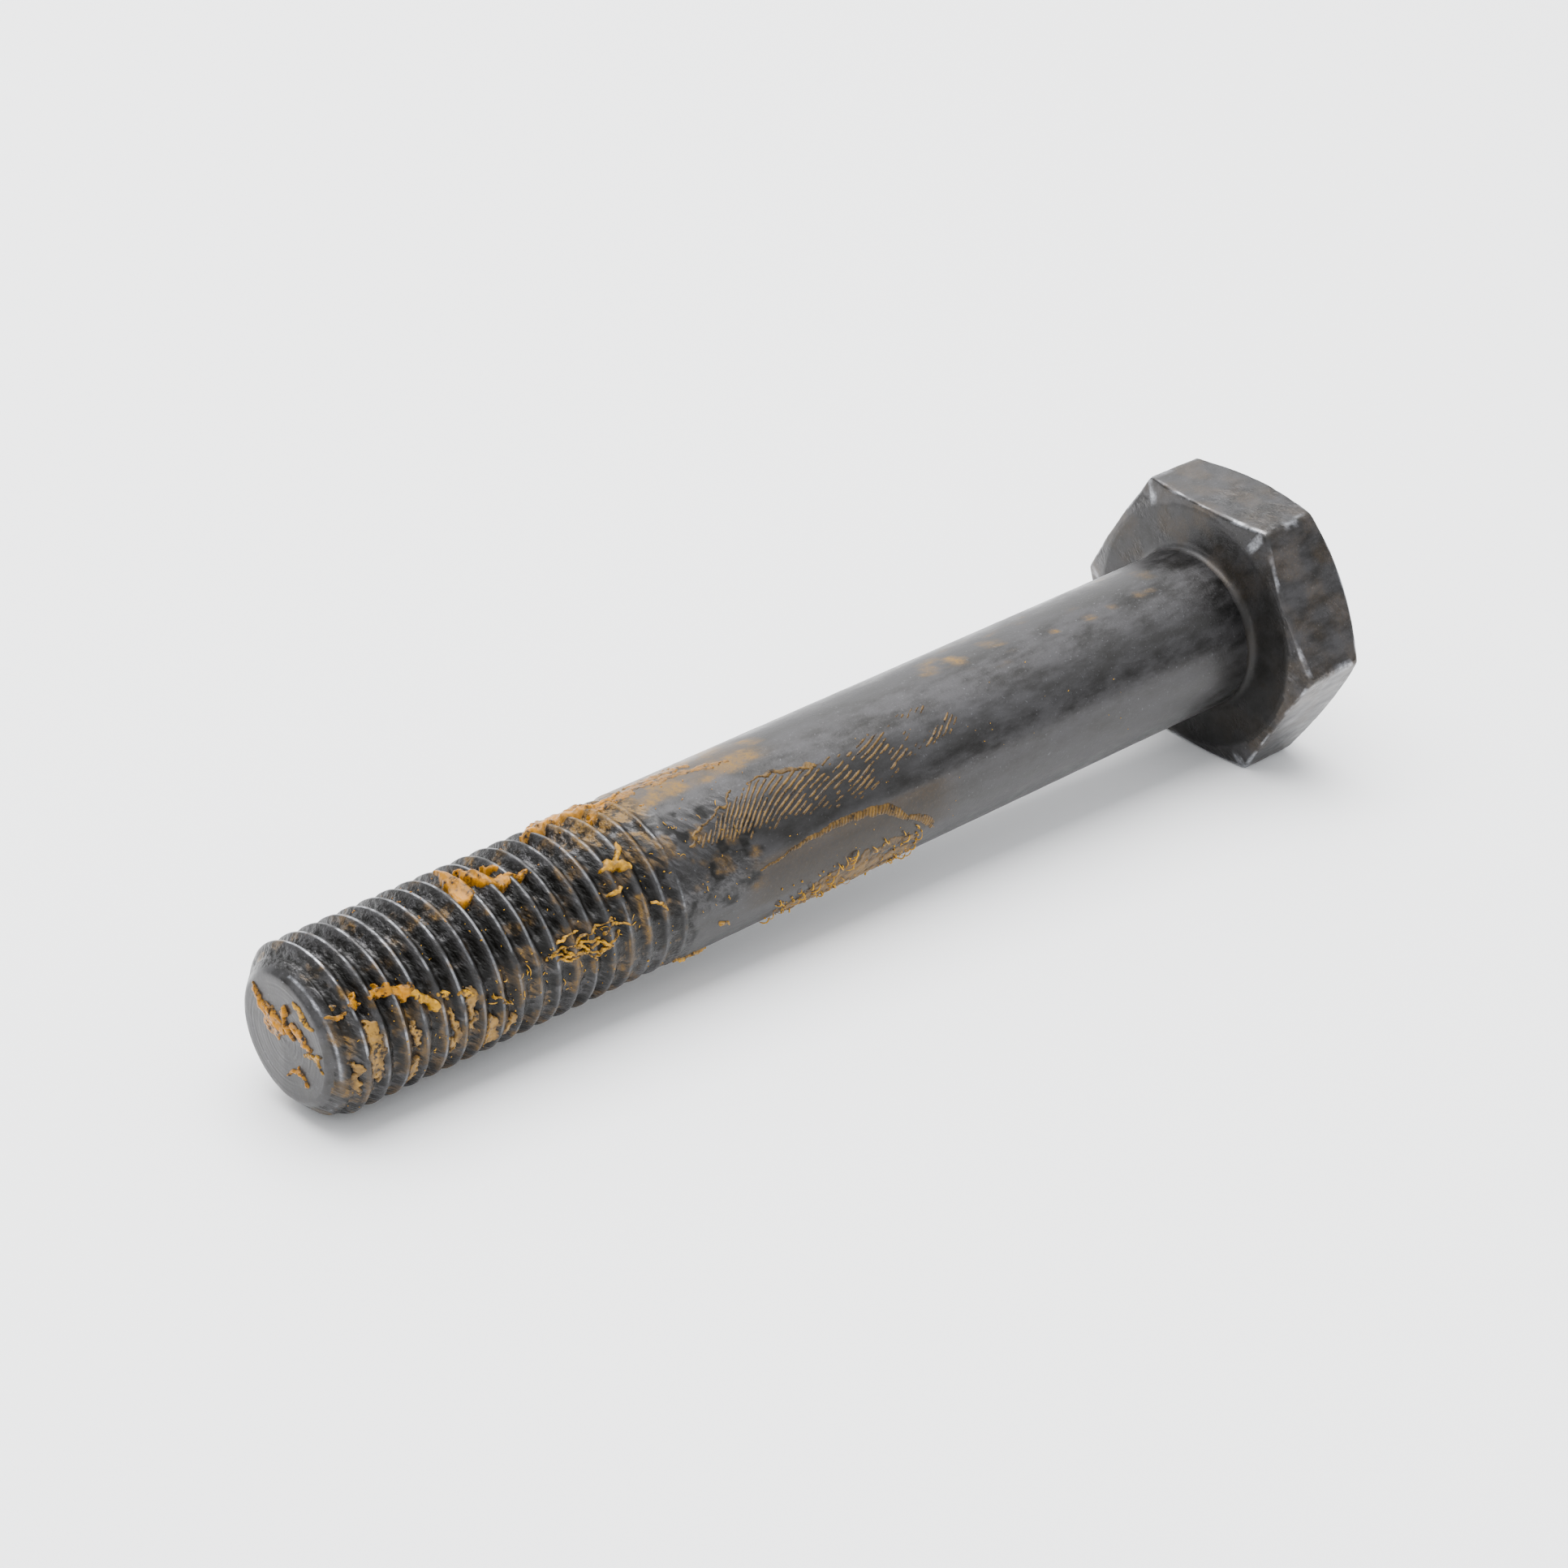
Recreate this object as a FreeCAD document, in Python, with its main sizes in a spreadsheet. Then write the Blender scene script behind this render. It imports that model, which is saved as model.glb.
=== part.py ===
import FreeCAD, Part
import math
import os

import Sketcher

# A large-series hexagon bolt, M16 x 2, partly threaded, forged in one piece, with the thread grease that clings to it.
#
# Frame: millimetres. The origin is the centre of the bearing face under the head. +X runs along the
# shank to the point, and one flat of the hexagon faces +Z, so the bolt lies on the opposite flat.
# An angle round the axis is measured from +Y towards +Z.
#
# The steel is one solid, as a forged bolt is. Each deposit of grease is a solid of its own that sits
# on the steel or fills a stretch of the thread's groove.

SIZES = [
    # alias, value, meaning
    ("shank_diameter", 16.0, "plain shank"),
    ("shank_length", 108.5, "bearing face to the end of the point"),
    ("underhead_radius", 0.9, "fillet between the shank and the bearing face"),
    ("across_flats", 26.3, "hexagon, flat to flat"),
    ("head_height", 9.8, "bearing face to the top of the head"),
    ("bearing_diameter", 24.4, "round bearing face under the head"),
    ("bearing_slope", 15.0, "degrees, cone from the bearing face back to the corners"),
    ("crown_diameter", 21.4, "round flat on top of the head"),
    ("crown_slope", 30.0, "degrees, cone from the top flat down to the corners"),
    ("thread_diameter", 15.9, "major diameter, over the crests"),
    ("thread_pitch", 2.0, "one turn"),
    ("thread_depth", 1.227, "crest to root"),
    ("thread_length", 38.0, "point to the end of the run-out"),
    ("runout_turns", 2.0, "turns over which the groove dies out"),
    ("shoulder_length", 1.5, "gentle slope from the plain shank down to the thread blank"),
    ("thread_lead_in", 0.594, "first groove's centre beyond the point, at the top of the bolt"),
    ("point_face_diameter", 11.6, "flat end of the point"),
    ("point_slope", 45.0, "degrees, chamfer of the point"),
    ("film_thickness", 0.12, "grease wiped out thin"),
    ("smear_thickness", 0.18, "grease left standing on the crests and the shank"),
    ("groove_fill_drop", 0.12, "crest down to the surface of the grease in a groove"),
    ("dab_thickness", 0.55, "lumps on the flat of the point"),
]

# Grease on the outside of the thread: name, distance of its near end back from the point, length,
# lowest angle, angle covered, thickness.
THREAD_SMEARS = [
    ("grease_crest_smear", 16.6, 5.2, 76.0, 34.0, "smear_thickness"),
    ("grease_crest_lump", 5.6, 4.2, 30.0, 18.0, "smear_thickness"),
    ("grease_drip_lump", 8.6, 2.6, 13.0, 16.0, "smear_thickness"),
    ("grease_string_clump", 22.4, 7.8, 2.0, 24.0, "smear_thickness"),
]

# Grease on the outside of the thread near its other end: the same, with the distance measured from the
# end of the run-out towards the point.
RUNOUT_SMEARS = [
    ("grease_runout_clump", 4.8, 3.0, 48.0, 14.0, "smear_thickness"),
    ("grease_back_ridge", 2.0, 8.0, 106.0, 22.0, "smear_thickness"),
]

# Grease on the plain shank: the same, with the distance measured from the end of the run-out towards
# the head.
SHANK_SMEARS = [
    ("grease_top_streak", 0.6, 9.6, 88.0, 20.0, "film_thickness"),
    ("grease_under_drip", 0.6, 3.4, -62.0, 18.0, "smear_thickness"),
    ("grease_print_film", 8.0, 26.0, 28.0, 36.0, "film_thickness"),
    ("grease_wipe_edge", 8.8, 19.4, -12.0, 32.0, "film_thickness"),
    ("grease_under_smear", 10.6, 17.4, -50.0, 34.0, "smear_thickness"),
]

# Grease lying in the thread's groove: name, grooves back from the point, lowest angle, angle covered.
GROOVE_STRIPS = [
    ("grease_groove_strip_front", 2, -14.0, 40.0),
    ("grease_groove_strip_second", 4, -34.0, 50.0),
    ("grease_groove_strip_third", 7, -8.0, 30.0),
    ("grease_groove_strip_fourth", 8, -34.0, 28.0),
]

# Lumps on the flat of the point: name, centre across and up, length, width, turn of the long side.
POINT_DABS = [
    ("grease_point_lump", -1.9, 1.8, 4.2, 1.9, -16.0),
    ("grease_point_ridge", 1.9, 1.9, 4.0, 1.4, -24.0),
    ("grease_point_speck", 2.5, 4.1, 1.7, 0.8, -18.0),
    ("grease_point_rim_dab", 4.4, 0.25, 2.4, 0.9, 8.0),
    ("grease_point_low_dab", 1.9, -2.5, 2.8, 1.1, -20.0),
]

OVERCUT = 1.0  # how far a cutting profile stands clear of the material it cuts
TURNS_CLEAR = 3  # turns of the groove cutter past the plain end of the thread blank
RUNOUT_BURY = 0.25  # how far the run-out's cone goes on under the thread's root
ON_AXIS = "0"  # a corner's coordinate that lies on one of the sketch's axes
ROUNDING = 1e-6  # millimetres within which two measures count as equal
SHEET = "Sizes"
TOP_ANGLE = 90.0  # the sketches lie in the XZ plane, so a profile starts at the top of the bolt


def size(name):
    """The expression that reads one cell of the sheet."""
    return f"<<{SHEET}>>.{name}"


def make_sheet(doc):
    sheet = doc.addObject("Spreadsheet::Sheet", SHEET)
    for row, (alias, value, meaning) in enumerate(SIZES, start=1):
        sheet.set(f"A{row}", meaning)
        sheet.set(f"B{row}", str(value))
        sheet.setAlias(f"B{row}", alias)
    doc.recompute()
    return sheet


def make_body(doc, name):
    body = doc.addObject("PartDesign::Body", name)
    body.Label = name
    return body


def make_sketch(body, name, role):
    """An empty sketch on one of the body's own origin planes."""
    sketch = body.newObject("Sketcher::SketchObject", name)
    plane = next(item for item in body.Origin.OriginFeatures if item.Role == role)
    sketch.AttachmentSupport = [(plane, "")]
    sketch.MapMode = "FlatFace"
    body.Document.recompute()
    return sketch


def draw_outline(sketch, corners):
    """A closed outline of straight lines. Each corner is a pair of expressions."""
    probe = sketch.Document.getObject(SHEET)
    start = [[read_number(probe, value) for value in corner] for corner in corners]
    count = len(corners)
    for index in range(count):
        begin, end = start[index], start[(index + 1) % count]
        line = Part.LineSegment(FreeCAD.Vector(*begin, 0), FreeCAD.Vector(*end, 0))
        sketch.addGeometry(line, False)
    for index in range(count):
        sketch.addConstraint(Sketcher.Constraint("Coincident", index, 2, (index + 1) % count, 1))
    for index, corner in enumerate(corners):
        for axis, kind, on_axis in ((0, "DistanceX", -2), (1, "DistanceY", -1)):
            if corner[axis] == ON_AXIS:
                sketch.addConstraint(Sketcher.Constraint("PointOnObject", index, 1, on_axis))
                continue
            rule = Sketcher.Constraint(kind, -1, 1, index, 1, start[index][axis])
            number = sketch.addConstraint(rule)
            sketch.renameConstraint(number, f"corner{index}_{'xy'[axis]}")
            sketch.setExpression(f"Constraints.corner{index}_{'xy'[axis]}", corner[axis])
    sketch.Document.recompute()


def read_number(owner, expression):
    """The present value of an expression, as a plain number."""
    value = owner.evalExpression(expression)
    return float(getattr(value, "Value", value))


def bind(feature, **expressions):
    """Tie each named property of a feature to its expression."""
    for name, expression in expressions.items():
        feature.setExpression(name, expression)


def tan_of(angle):
    """The expression for the tangent of an angle cell, which holds plain degrees."""
    return f"tan({size(angle)} * 1 deg)"


# ---------------------------------------------------------------------------------------------
# The steel


def head_blank(body):
    """The hexagon, from the bearing face back to the top of the head."""
    sketch = make_sketch(body, "HexagonOutline", "YZ_Plane")
    flats = size("across_flats")
    corner = f"{flats} / sqrt(3)"
    half_corner = f"{flats} / (2 * sqrt(3))"
    half_flats = f"{flats} / 2"
    draw_outline(
        sketch,
        [
            (corner, ON_AXIS),
            (half_corner, half_flats),
            (f"-{half_corner}", half_flats),
            (f"-{corner}", ON_AXIS),
            (f"-{half_corner}", f"-{half_flats}"),
            (half_corner, f"-{half_flats}"),
        ],
    )
    pad = body.newObject("PartDesign::Pad", "Head")
    pad.Profile = sketch
    pad.Reversed = True
    bind(pad, Length=size("head_height"))
    body.Document.recompute()
    return pad


def turn_cone(body, name, face_x, face_diameter, slope, away):
    """Turn one end of the hexagon down to a cone that starts at a round flat face.

    away is the sign of X that points out of the head at that end.
    """
    sketch = make_sketch(body, name + "Profile", "XZ_Plane")
    inner = f"{size(face_diameter)} / 2"
    outer = f"({size('across_flats')} / sqrt(3) + {OVERCUT})"
    drop = f"({outer} - {inner}) * {tan_of(slope)}"
    towards_head = "-" if away > 0 else "+"
    clear = f"{face_x} {'+' if away > 0 else '-'} {OVERCUT}"
    draw_outline(
        sketch,
        [
            (face_x, inner),
            (f"{face_x} {towards_head} {drop}", outer),
            (clear, outer),
            (clear, inner),
        ],
    )
    groove = body.newObject("PartDesign::Groove", name)
    groove.Profile = sketch
    groove.ReferenceAxis = (sketch, ["H_Axis"])
    groove.Angle = 360
    body.Document.recompute()
    return groove


def thread_blank(body):
    """The round bar that takes the thread, with its chamfered point."""
    sketch = make_sketch(body, "ThreadBlankProfile", "XZ_Plane")
    end = size("shank_length")
    thread = f"{size('thread_diameter')} / 2"
    face = f"{size('point_face_diameter')} / 2"
    runout_end = f"{end} - {size('thread_length')}"
    chamfer = f"{end} - ({thread} - {face}) / {tan_of('point_slope')}"
    draw_outline(
        sketch,
        [
            (runout_end, ON_AXIS),
            (runout_end, thread),
            (chamfer, thread),
            (end, face),
            (end, ON_AXIS),
        ],
    )
    turned = body.newObject("PartDesign::Revolution", "ThreadBlank")
    turned.Profile = sketch
    turned.ReferenceAxis = (sketch, ["H_Axis"])
    turned.Angle = 360
    body.Document.recompute()
    return turned


def plain_shank(body):
    """The plain shank, ending in a cone that fills the groove's last turns, so that the thread runs out."""
    sketch = make_sketch(body, "ShankProfile", "XZ_Plane")
    shank = f"{size('shank_diameter')} / 2"
    thread = f"{size('thread_diameter')} / 2"
    inside_head = f"-{size('head_height')} / 2"
    runout_end = f"{size('shank_length')} - {size('thread_length')}"
    run = f"{size('runout_turns')} * {size('thread_pitch')}"
    buried_depth = f"({size('thread_depth')} + {RUNOUT_BURY})"
    tip = f"{runout_end} + {run} * {buried_depth} / {size('thread_depth')}"
    tip_radius = f"{thread} - {buried_depth}"
    draw_outline(
        sketch,
        [
            (inside_head, ON_AXIS),
            (inside_head, shank),
            (f"{runout_end} - {size('shoulder_length')}", shank),
            (runout_end, thread),
            (tip, tip_radius),
            (tip, ON_AXIS),
        ],
    )
    turned = body.newObject("PartDesign::Revolution", "Shank")
    turned.Profile = sketch
    turned.ReferenceAxis = (sketch, ["H_Axis"])
    turned.Angle = 360
    body.Document.recompute()
    return turned


def underhead_fillet(body, sheet):
    """Round the corner where the shank meets the bearing face."""
    base = body.Tip
    radius = sheet.shank_diameter / 2
    names = []
    for number, edge in enumerate(base.Shape.Edges, start=1):
        curve = edge.Curve
        if not isinstance(curve, Part.Circle):
            continue
        if abs(curve.Radius - radius) < ROUNDING and abs(curve.Center.x) < ROUNDING:
            names.append(f"Edge{number}")
    if not names:
        raise RuntimeError("the edge under the head was not found")
    fillet = body.newObject("PartDesign::Fillet", "UnderheadFillet")
    fillet.Base = (base, names)
    bind(fillet, Radius=size("underhead_radius"))
    body.Document.recompute()
    return fillet


def groove_centre():
    """The expression for the centre of the thread's first groove, at the top of the bolt."""
    return f"{size('shank_length')} + {size('thread_lead_in')}"


def groove_turns():
    """The expression for the whole turns that carry the groove right through the blank and out of it."""
    length = f"{size('thread_length')} + {size('thread_lead_in')}"
    return f"floor(({length}) / {size('thread_pitch')}) + {TURNS_CLEAR}"


def groove_half_width(drop):
    """Half the groove's width at a depth under the crest. The flanks stand at 60 degrees to each other."""
    return f"({size('thread_pitch')} * 7 / 16 - ({drop}) * tan(30 deg))"


def groove_profile(sketch, centre, top_drop):
    """The groove's section: flat root, two flanks, cut off at a depth under the crest."""
    crest = f"{size('thread_diameter')} / 2"
    top = groove_half_width(top_drop)
    bottom = groove_half_width(size("thread_depth"))
    root_radius = f"{crest} - {size('thread_depth')}"
    top_radius = f"{crest} - ({top_drop})"
    draw_outline(
        sketch,
        [
            (f"{centre} - {top}", top_radius),
            (f"{centre} - {bottom}", root_radius),
            (f"{centre} + {bottom}", root_radius),
            (f"{centre} + {top}", top_radius),
        ],
    )


def cut_thread(body):
    """Cut the groove along a right-hand helix that winds towards the head."""
    sketch = make_sketch(body, "ThreadProfile", "XZ_Plane")
    groove_profile(sketch, groove_centre(), f"-{OVERCUT / 2}")
    helix = body.newObject("PartDesign::SubtractiveHelix", "Thread")
    helix.Profile = sketch
    helix.ReferenceAxis = (sketch, ["H_Axis"])
    helix.Mode = "pitch-turns-angle"
    helix.LeftHanded = False
    helix.Reversed = True
    bind(helix, Pitch=size("thread_pitch"), Turns=groove_turns())
    body.Document.recompute()
    return helix


def build_bolt(doc, sheet):
    """The forged steel bolt, one solid."""
    body = make_body(doc, "bolt")
    steps = [
        (thread_blank(body), 1),
        (cut_thread(body), -1),
        (plain_shank(body), 1),
        (head_blank(body), 1),
        (turn_cone(body, "Crown", f"-{size('head_height')}", "crown_diameter", "crown_slope", -1), -1),
        (turn_cone(body, "Bearing", ON_AXIS, "bearing_diameter", "bearing_slope", 1), -1),
        (underhead_fillet(body, sheet), 1),
    ]
    check_steps(steps)
    return body


def check_steps(steps):
    """Each cut has to take material off, and each addition has to put some on."""
    volume = 0.0
    for feature, sign in steps:
        change = feature.Shape.Volume - volume
        if change * sign <= 0:
            raise RuntimeError(f"{feature.Name} changed the volume by {change:.3f}")
        volume = feature.Shape.Volume


# ---------------------------------------------------------------------------------------------
# The grease


def turn_to(body, lowest_angle):
    """Turn a body about the bolt's axis, from the top of the bolt to the angle where it starts."""
    turn = FreeCAD.Rotation(FreeCAD.Vector(1, 0, 0), lowest_angle - TOP_ANGLE)
    body.Placement = FreeCAD.Placement(FreeCAD.Vector(0, 0, 0), turn)


def build_smear(doc, name, begin, end, seat_diameter, lowest_angle, angle, thickness):
    """A layer of grease round part of the bar, between two distances along it."""
    body = make_body(doc, name)
    sketch = make_sketch(body, name + "_section", "XZ_Plane")
    seat = f"{size(seat_diameter)} / 2"
    skin = f"{seat} + {size(thickness)}"
    draw_outline(sketch, [(begin, seat), (begin, skin), (end, skin), (end, seat)])
    layer = body.newObject("PartDesign::Revolution", name + "_layer")
    layer.Profile = sketch
    layer.ReferenceAxis = (sketch, ["H_Axis"])
    layer.Angle = angle
    body.Document.recompute()
    turn_to(body, lowest_angle)
    return body


def build_thread_smears(doc):
    for name, back, length, lowest, angle, thickness in THREAD_SMEARS:
        end = f"{size('shank_length')} - {back}"
        build_smear(doc, name, f"{end} - {length}", end, "thread_diameter", lowest, angle, thickness)


def build_runout_smears(doc):
    for name, ahead, length, lowest, angle, thickness in RUNOUT_SMEARS:
        begin = f"{size('shank_length')} - {size('thread_length')} + {ahead}"
        build_smear(doc, name, begin, f"{begin} + {length}", "thread_diameter", lowest, angle, thickness)


def build_shank_smears(doc):
    for name, back, length, lowest, angle, thickness in SHANK_SMEARS:
        end = f"{size('shank_length')} - {size('thread_length')} - {back}"
        build_smear(doc, name, f"{end} - {length}", end, "shank_diameter", lowest, angle, thickness)


def build_groove_strips(doc):
    """Grease packed between the flanks, following the helix."""
    for name, back, lowest, angle in GROOVE_STRIPS:
        body = make_body(doc, name)
        turn = (lowest - TOP_ANGLE) / 360
        centre = f"{groove_centre()} + ({turn} - {back}) * {size('thread_pitch')}"
        sketch = make_sketch(body, name + "_section", "XZ_Plane")
        groove_profile(sketch, centre, size("groove_fill_drop"))
        strip = body.newObject("PartDesign::AdditiveHelix", name + "_strip")
        strip.Profile = sketch
        strip.ReferenceAxis = (sketch, ["H_Axis"])
        strip.Mode = "pitch-turns-angle"
        strip.Turns = angle / 360
        strip.LeftHanded = False
        strip.Reversed = False
        bind(strip, Pitch=size("thread_pitch"))
        doc.recompute()
        turn_to(body, lowest)


def build_point_dabs(doc, sheet):
    """Lumps on the flat of the point: straight-sided pads with round ends."""
    for name, across, up, length, width, turn in POINT_DABS:
        body = make_body(doc, name)
        sketch = make_sketch(body, name + "_outline", "YZ_Plane")
        half, radius = (length - width) / 2, width / 2
        axis = FreeCAD.Vector(0, 0, 1)
        right = Part.Circle(FreeCAD.Vector(half, 0, 0), axis, radius)
        left = Part.Circle(FreeCAD.Vector(-half, 0, 0), axis, radius)
        quarter = math.pi / 2
        top_side = [FreeCAD.Vector(x, radius, 0) for x in (half, -half)]
        bottom_side = [FreeCAD.Vector(x, -radius, 0) for x in (-half, half)]
        sketch.addGeometry(Part.ArcOfCircle(right, -quarter, quarter), False)
        sketch.addGeometry(Part.LineSegment(*top_side), False)
        sketch.addGeometry(Part.ArcOfCircle(left, quarter, 3 * quarter), False)
        sketch.addGeometry(Part.LineSegment(*bottom_side), False)
        for first, second in ((0, 1), (1, 2), (2, 3), (3, 0)):
            sketch.addConstraint(Sketcher.Constraint("Coincident", first, 2, second, 1))
        pad = body.newObject("PartDesign::Pad", name + "_pad")
        pad.Profile = sketch
        bind(pad, Length=size("dab_thickness"))
        doc.recompute()
        spin = FreeCAD.Rotation(FreeCAD.Vector(1, 0, 0), turn)
        body.Placement = FreeCAD.Placement(FreeCAD.Vector(sheet.shank_length, across, up), spin)


# ---------------------------------------------------------------------------------------------


def check_document(doc, bodies):
    for item in doc.Objects:
        if "Invalid" in item.State or "Error" in item.State:
            raise RuntimeError(f"{item.Name} failed: {item.State}")
    for body in bodies:
        if body.Shape.isNull() or not body.Shape.isValid() or len(body.Shape.Solids) != 1:
            raise RuntimeError(f"{body.Label} is not one valid solid")


def main():
    doc = FreeCAD.newDocument("HexBolt")
    sheet = make_sheet(doc)
    build_bolt(doc, sheet)
    build_thread_smears(doc)
    build_runout_smears(doc)
    build_shank_smears(doc)
    build_groove_strips(doc)
    build_point_dabs(doc, sheet)
    doc.recompute()
    bodies = [item for item in doc.Objects if item.TypeId == "PartDesign::Body"]
    check_document(doc, bodies)
    os.makedirs("parts", exist_ok=True)
    for body in bodies:
        body.Shape.exportStep(f"parts/{body.Label}.step")
        print(f"{body.Label}: {body.Shape.Volume:.2f} mm3")


main()
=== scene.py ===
import logging
import math
from dataclasses import dataclass, field
from enum import Enum
from typing import Any

import bmesh
import bpy
import numpy as np
from mathutils import Matrix, Vector

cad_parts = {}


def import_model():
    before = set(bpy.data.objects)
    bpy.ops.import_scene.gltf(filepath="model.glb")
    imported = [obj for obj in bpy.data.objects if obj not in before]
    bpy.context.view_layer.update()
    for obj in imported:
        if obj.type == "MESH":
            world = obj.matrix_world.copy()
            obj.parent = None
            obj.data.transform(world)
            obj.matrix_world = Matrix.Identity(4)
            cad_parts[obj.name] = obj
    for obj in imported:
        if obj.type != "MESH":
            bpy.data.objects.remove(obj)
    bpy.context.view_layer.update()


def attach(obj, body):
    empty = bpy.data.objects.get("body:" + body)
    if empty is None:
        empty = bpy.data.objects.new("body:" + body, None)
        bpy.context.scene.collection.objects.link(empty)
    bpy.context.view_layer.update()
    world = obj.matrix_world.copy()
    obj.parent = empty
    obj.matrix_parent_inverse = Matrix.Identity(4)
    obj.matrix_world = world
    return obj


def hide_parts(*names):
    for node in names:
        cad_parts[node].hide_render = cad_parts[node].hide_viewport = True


Array = np.ndarray
MM = 0.001
FINISH_AND_PAINTED_LIGHT = "finish"  # vertex colours of the steel: bright wear, with a painted highlight on the thread's crests; tan film; dark wet grease, with painted shade under the bar and on the head's bearing face; old caked grease
BODY = "body"  # vertex colours of a grease piece: how thick it stands and how dusty it is
# A Mix node between two colours: its inputs are 0 the share, 6 and 7 the colours, its output is 2.
BLEND = {"data_type": "RGBA", "clamp_result": True}
# A Map Range node with soft ends: its inputs are 0 the value, 1 and 2 from, 3 and 4 to.
EASED = {"interpolation_type": "SMOOTHSTEP"}
TIMES = {"operation": "MULTIPLY"}
LARGER = {"operation": "MAXIMUM"}
POLE = 1e-6  # a radius in mm below which a vertex lies on the axis
log = logging.getLogger("bolt")


# ---------------------------------------------------------------------------------------------
# Numbers on arrays


def smooth_max(a: Array | float, b: Array | float, ease: float) -> Array:
    """The larger of two values, with a rounded change-over that is ease wide."""
    return 0.5 * (a + b + np.sqrt((a - b) ** 2 + ease**2))


def smooth_min(a: Array | float, b: Array | float, ease: float) -> Array:
    """The smaller of two values, with a rounded change-over that is ease wide."""
    return 0.5 * (a + b - np.sqrt((a - b) ** 2 + ease**2))


def smooth_step(low: float, high: float, value: Array) -> Array:
    """0 below low, 1 above high, and three t squared less two t cubed between them."""
    t = np.clip((value - low) / (high - low), 0.0, 1.0)
    return t * t * (3.0 - 2.0 * t)


def bump_between(value: Array, low: float, high: float, ease: float) -> Array:
    """1 between low and high, falling to 0 over ease on each side."""
    return smooth_step(low - ease, low, value) * (1.0 - smooth_step(high, high + ease, value))


def lattice_value(cells: Array, seed: int) -> Array:
    """A repeatable random value between -1 and 1 for each whole-number cell.

    Args:
        cells: integers, shape (..., 3).
        seed: picks one of many lattices.

    Returns:
        Values of shape (...): the cell's three numbers times large primes, mixed by shifts.
    """
    primes = np.array([73856093, 19349663, 83492791], dtype=np.uint64)
    mixed = (cells.astype(np.int64).astype(np.uint64) * primes).sum(axis=-1, dtype=np.uint64)
    mixed = mixed ^ np.uint64(seed * 2654435761 % 2**32)
    for shift, factor in ((15, 2246822519), (13, 3266489917), (16, 668265263)):
        mixed = (mixed ^ (mixed >> np.uint64(shift))) * np.uint64(factor) & np.uint64(0xFFFFFFFF)
    return mixed.astype(np.float64) / float(0xFFFFFFFF) * 2.0 - 1.0


def noise(points: Array, cell: float | tuple[float, float, float], seed: int) -> Array:
    """Smooth noise between -1 and 1.

    The eight lattice values round each point are blended by t cubed (6 t squared - 15 t + 10).

    Args:
        points: positions in mm, shape (..., 3).
        cell: size of a lattice cell in mm, or one size for each axis.
        seed: picks the lattice.

    Returns:
        Noise of shape (...).
    """
    scaled = points / np.asarray(cell, dtype=float)
    base = np.floor(scaled)
    part = scaled - base
    ease = part**3 * (part * (part * 6.0 - 15.0) + 10.0)
    total = np.zeros(points.shape[:-1])
    for corner in np.ndindex(2, 2, 2):
        step = np.array(corner)
        weight = np.prod(np.where(step == 1, ease, 1.0 - ease), axis=-1)
        total += weight * lattice_value(base + step, seed)
    return total


def rough_noise(points: Array, cell: float, seed: int, layers: int = 3) -> Array:
    """Noise summed over layers, each with half the cell and half the strength of the last."""
    return sum(noise(points, cell / 2**k, seed + k) / 2**k for k in range(layers))


def on_cylinder(along: Array, angle: Array, radius: Array) -> Array:
    """Points in mm from distances along the bolt, angles in degrees and radii."""
    turn = np.radians(angle)
    return np.stack([along, radius * np.cos(turn), radius * np.sin(turn)], axis=-1)


def on_sheet(first: Array, second: Array) -> Array:
    """Points in mm on a flat sheet, for noise."""
    return np.stack([first, second, 0.0 * second], axis=-1)


def half_turns(angle: Array) -> Array:
    """Angles in degrees brought between -180 and 180."""
    return np.mod(angle + 180.0, 360.0) - 180.0


@dataclass(frozen=True)
class Zone:
    """A soft-edged patch of the bolt's surface.

    along holds its two ends in mm and its edge's softness, and around the same in degrees.
    """

    along: tuple[float, float, float]
    around: tuple[float, float, float]

    def cover(self, along: Array, side: Array) -> Array:
        """1 inside the zone and 0 away from it, at distances along the bolt and angles round it."""
        return bump_between(side, *self.around) * bump_between(along, *self.along)


# ---------------------------------------------------------------------------------------------
# Meshes


def quads_between(index: Array, beside: Array) -> Array:
    """The faces between rows of vertices.

    Args:
        index: vertex numbers, shape (..., rows, columns).
        beside: the number of each vertex's neighbour in its row, of the same shape.

    Returns:
        Faces of shape (m, 4).
    """
    corners = index[..., :-1, :], beside[..., :-1, :], beside[..., 1:, :], index[..., 1:, :]
    return np.stack(corners, axis=-1).reshape(-1, 4)


def outward(points: Array, quads: Array) -> Array:
    """The faces, reversed if together they enclose a negative volume."""
    a, b, c, d = (points[quads[:, k]] for k in range(4))
    volume = np.einsum("ij,ij->", a, np.cross(b, c)) + np.einsum("ij,ij->", a, np.cross(c, d))
    return quads if volume > 0 else quads[:, ::-1]


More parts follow.
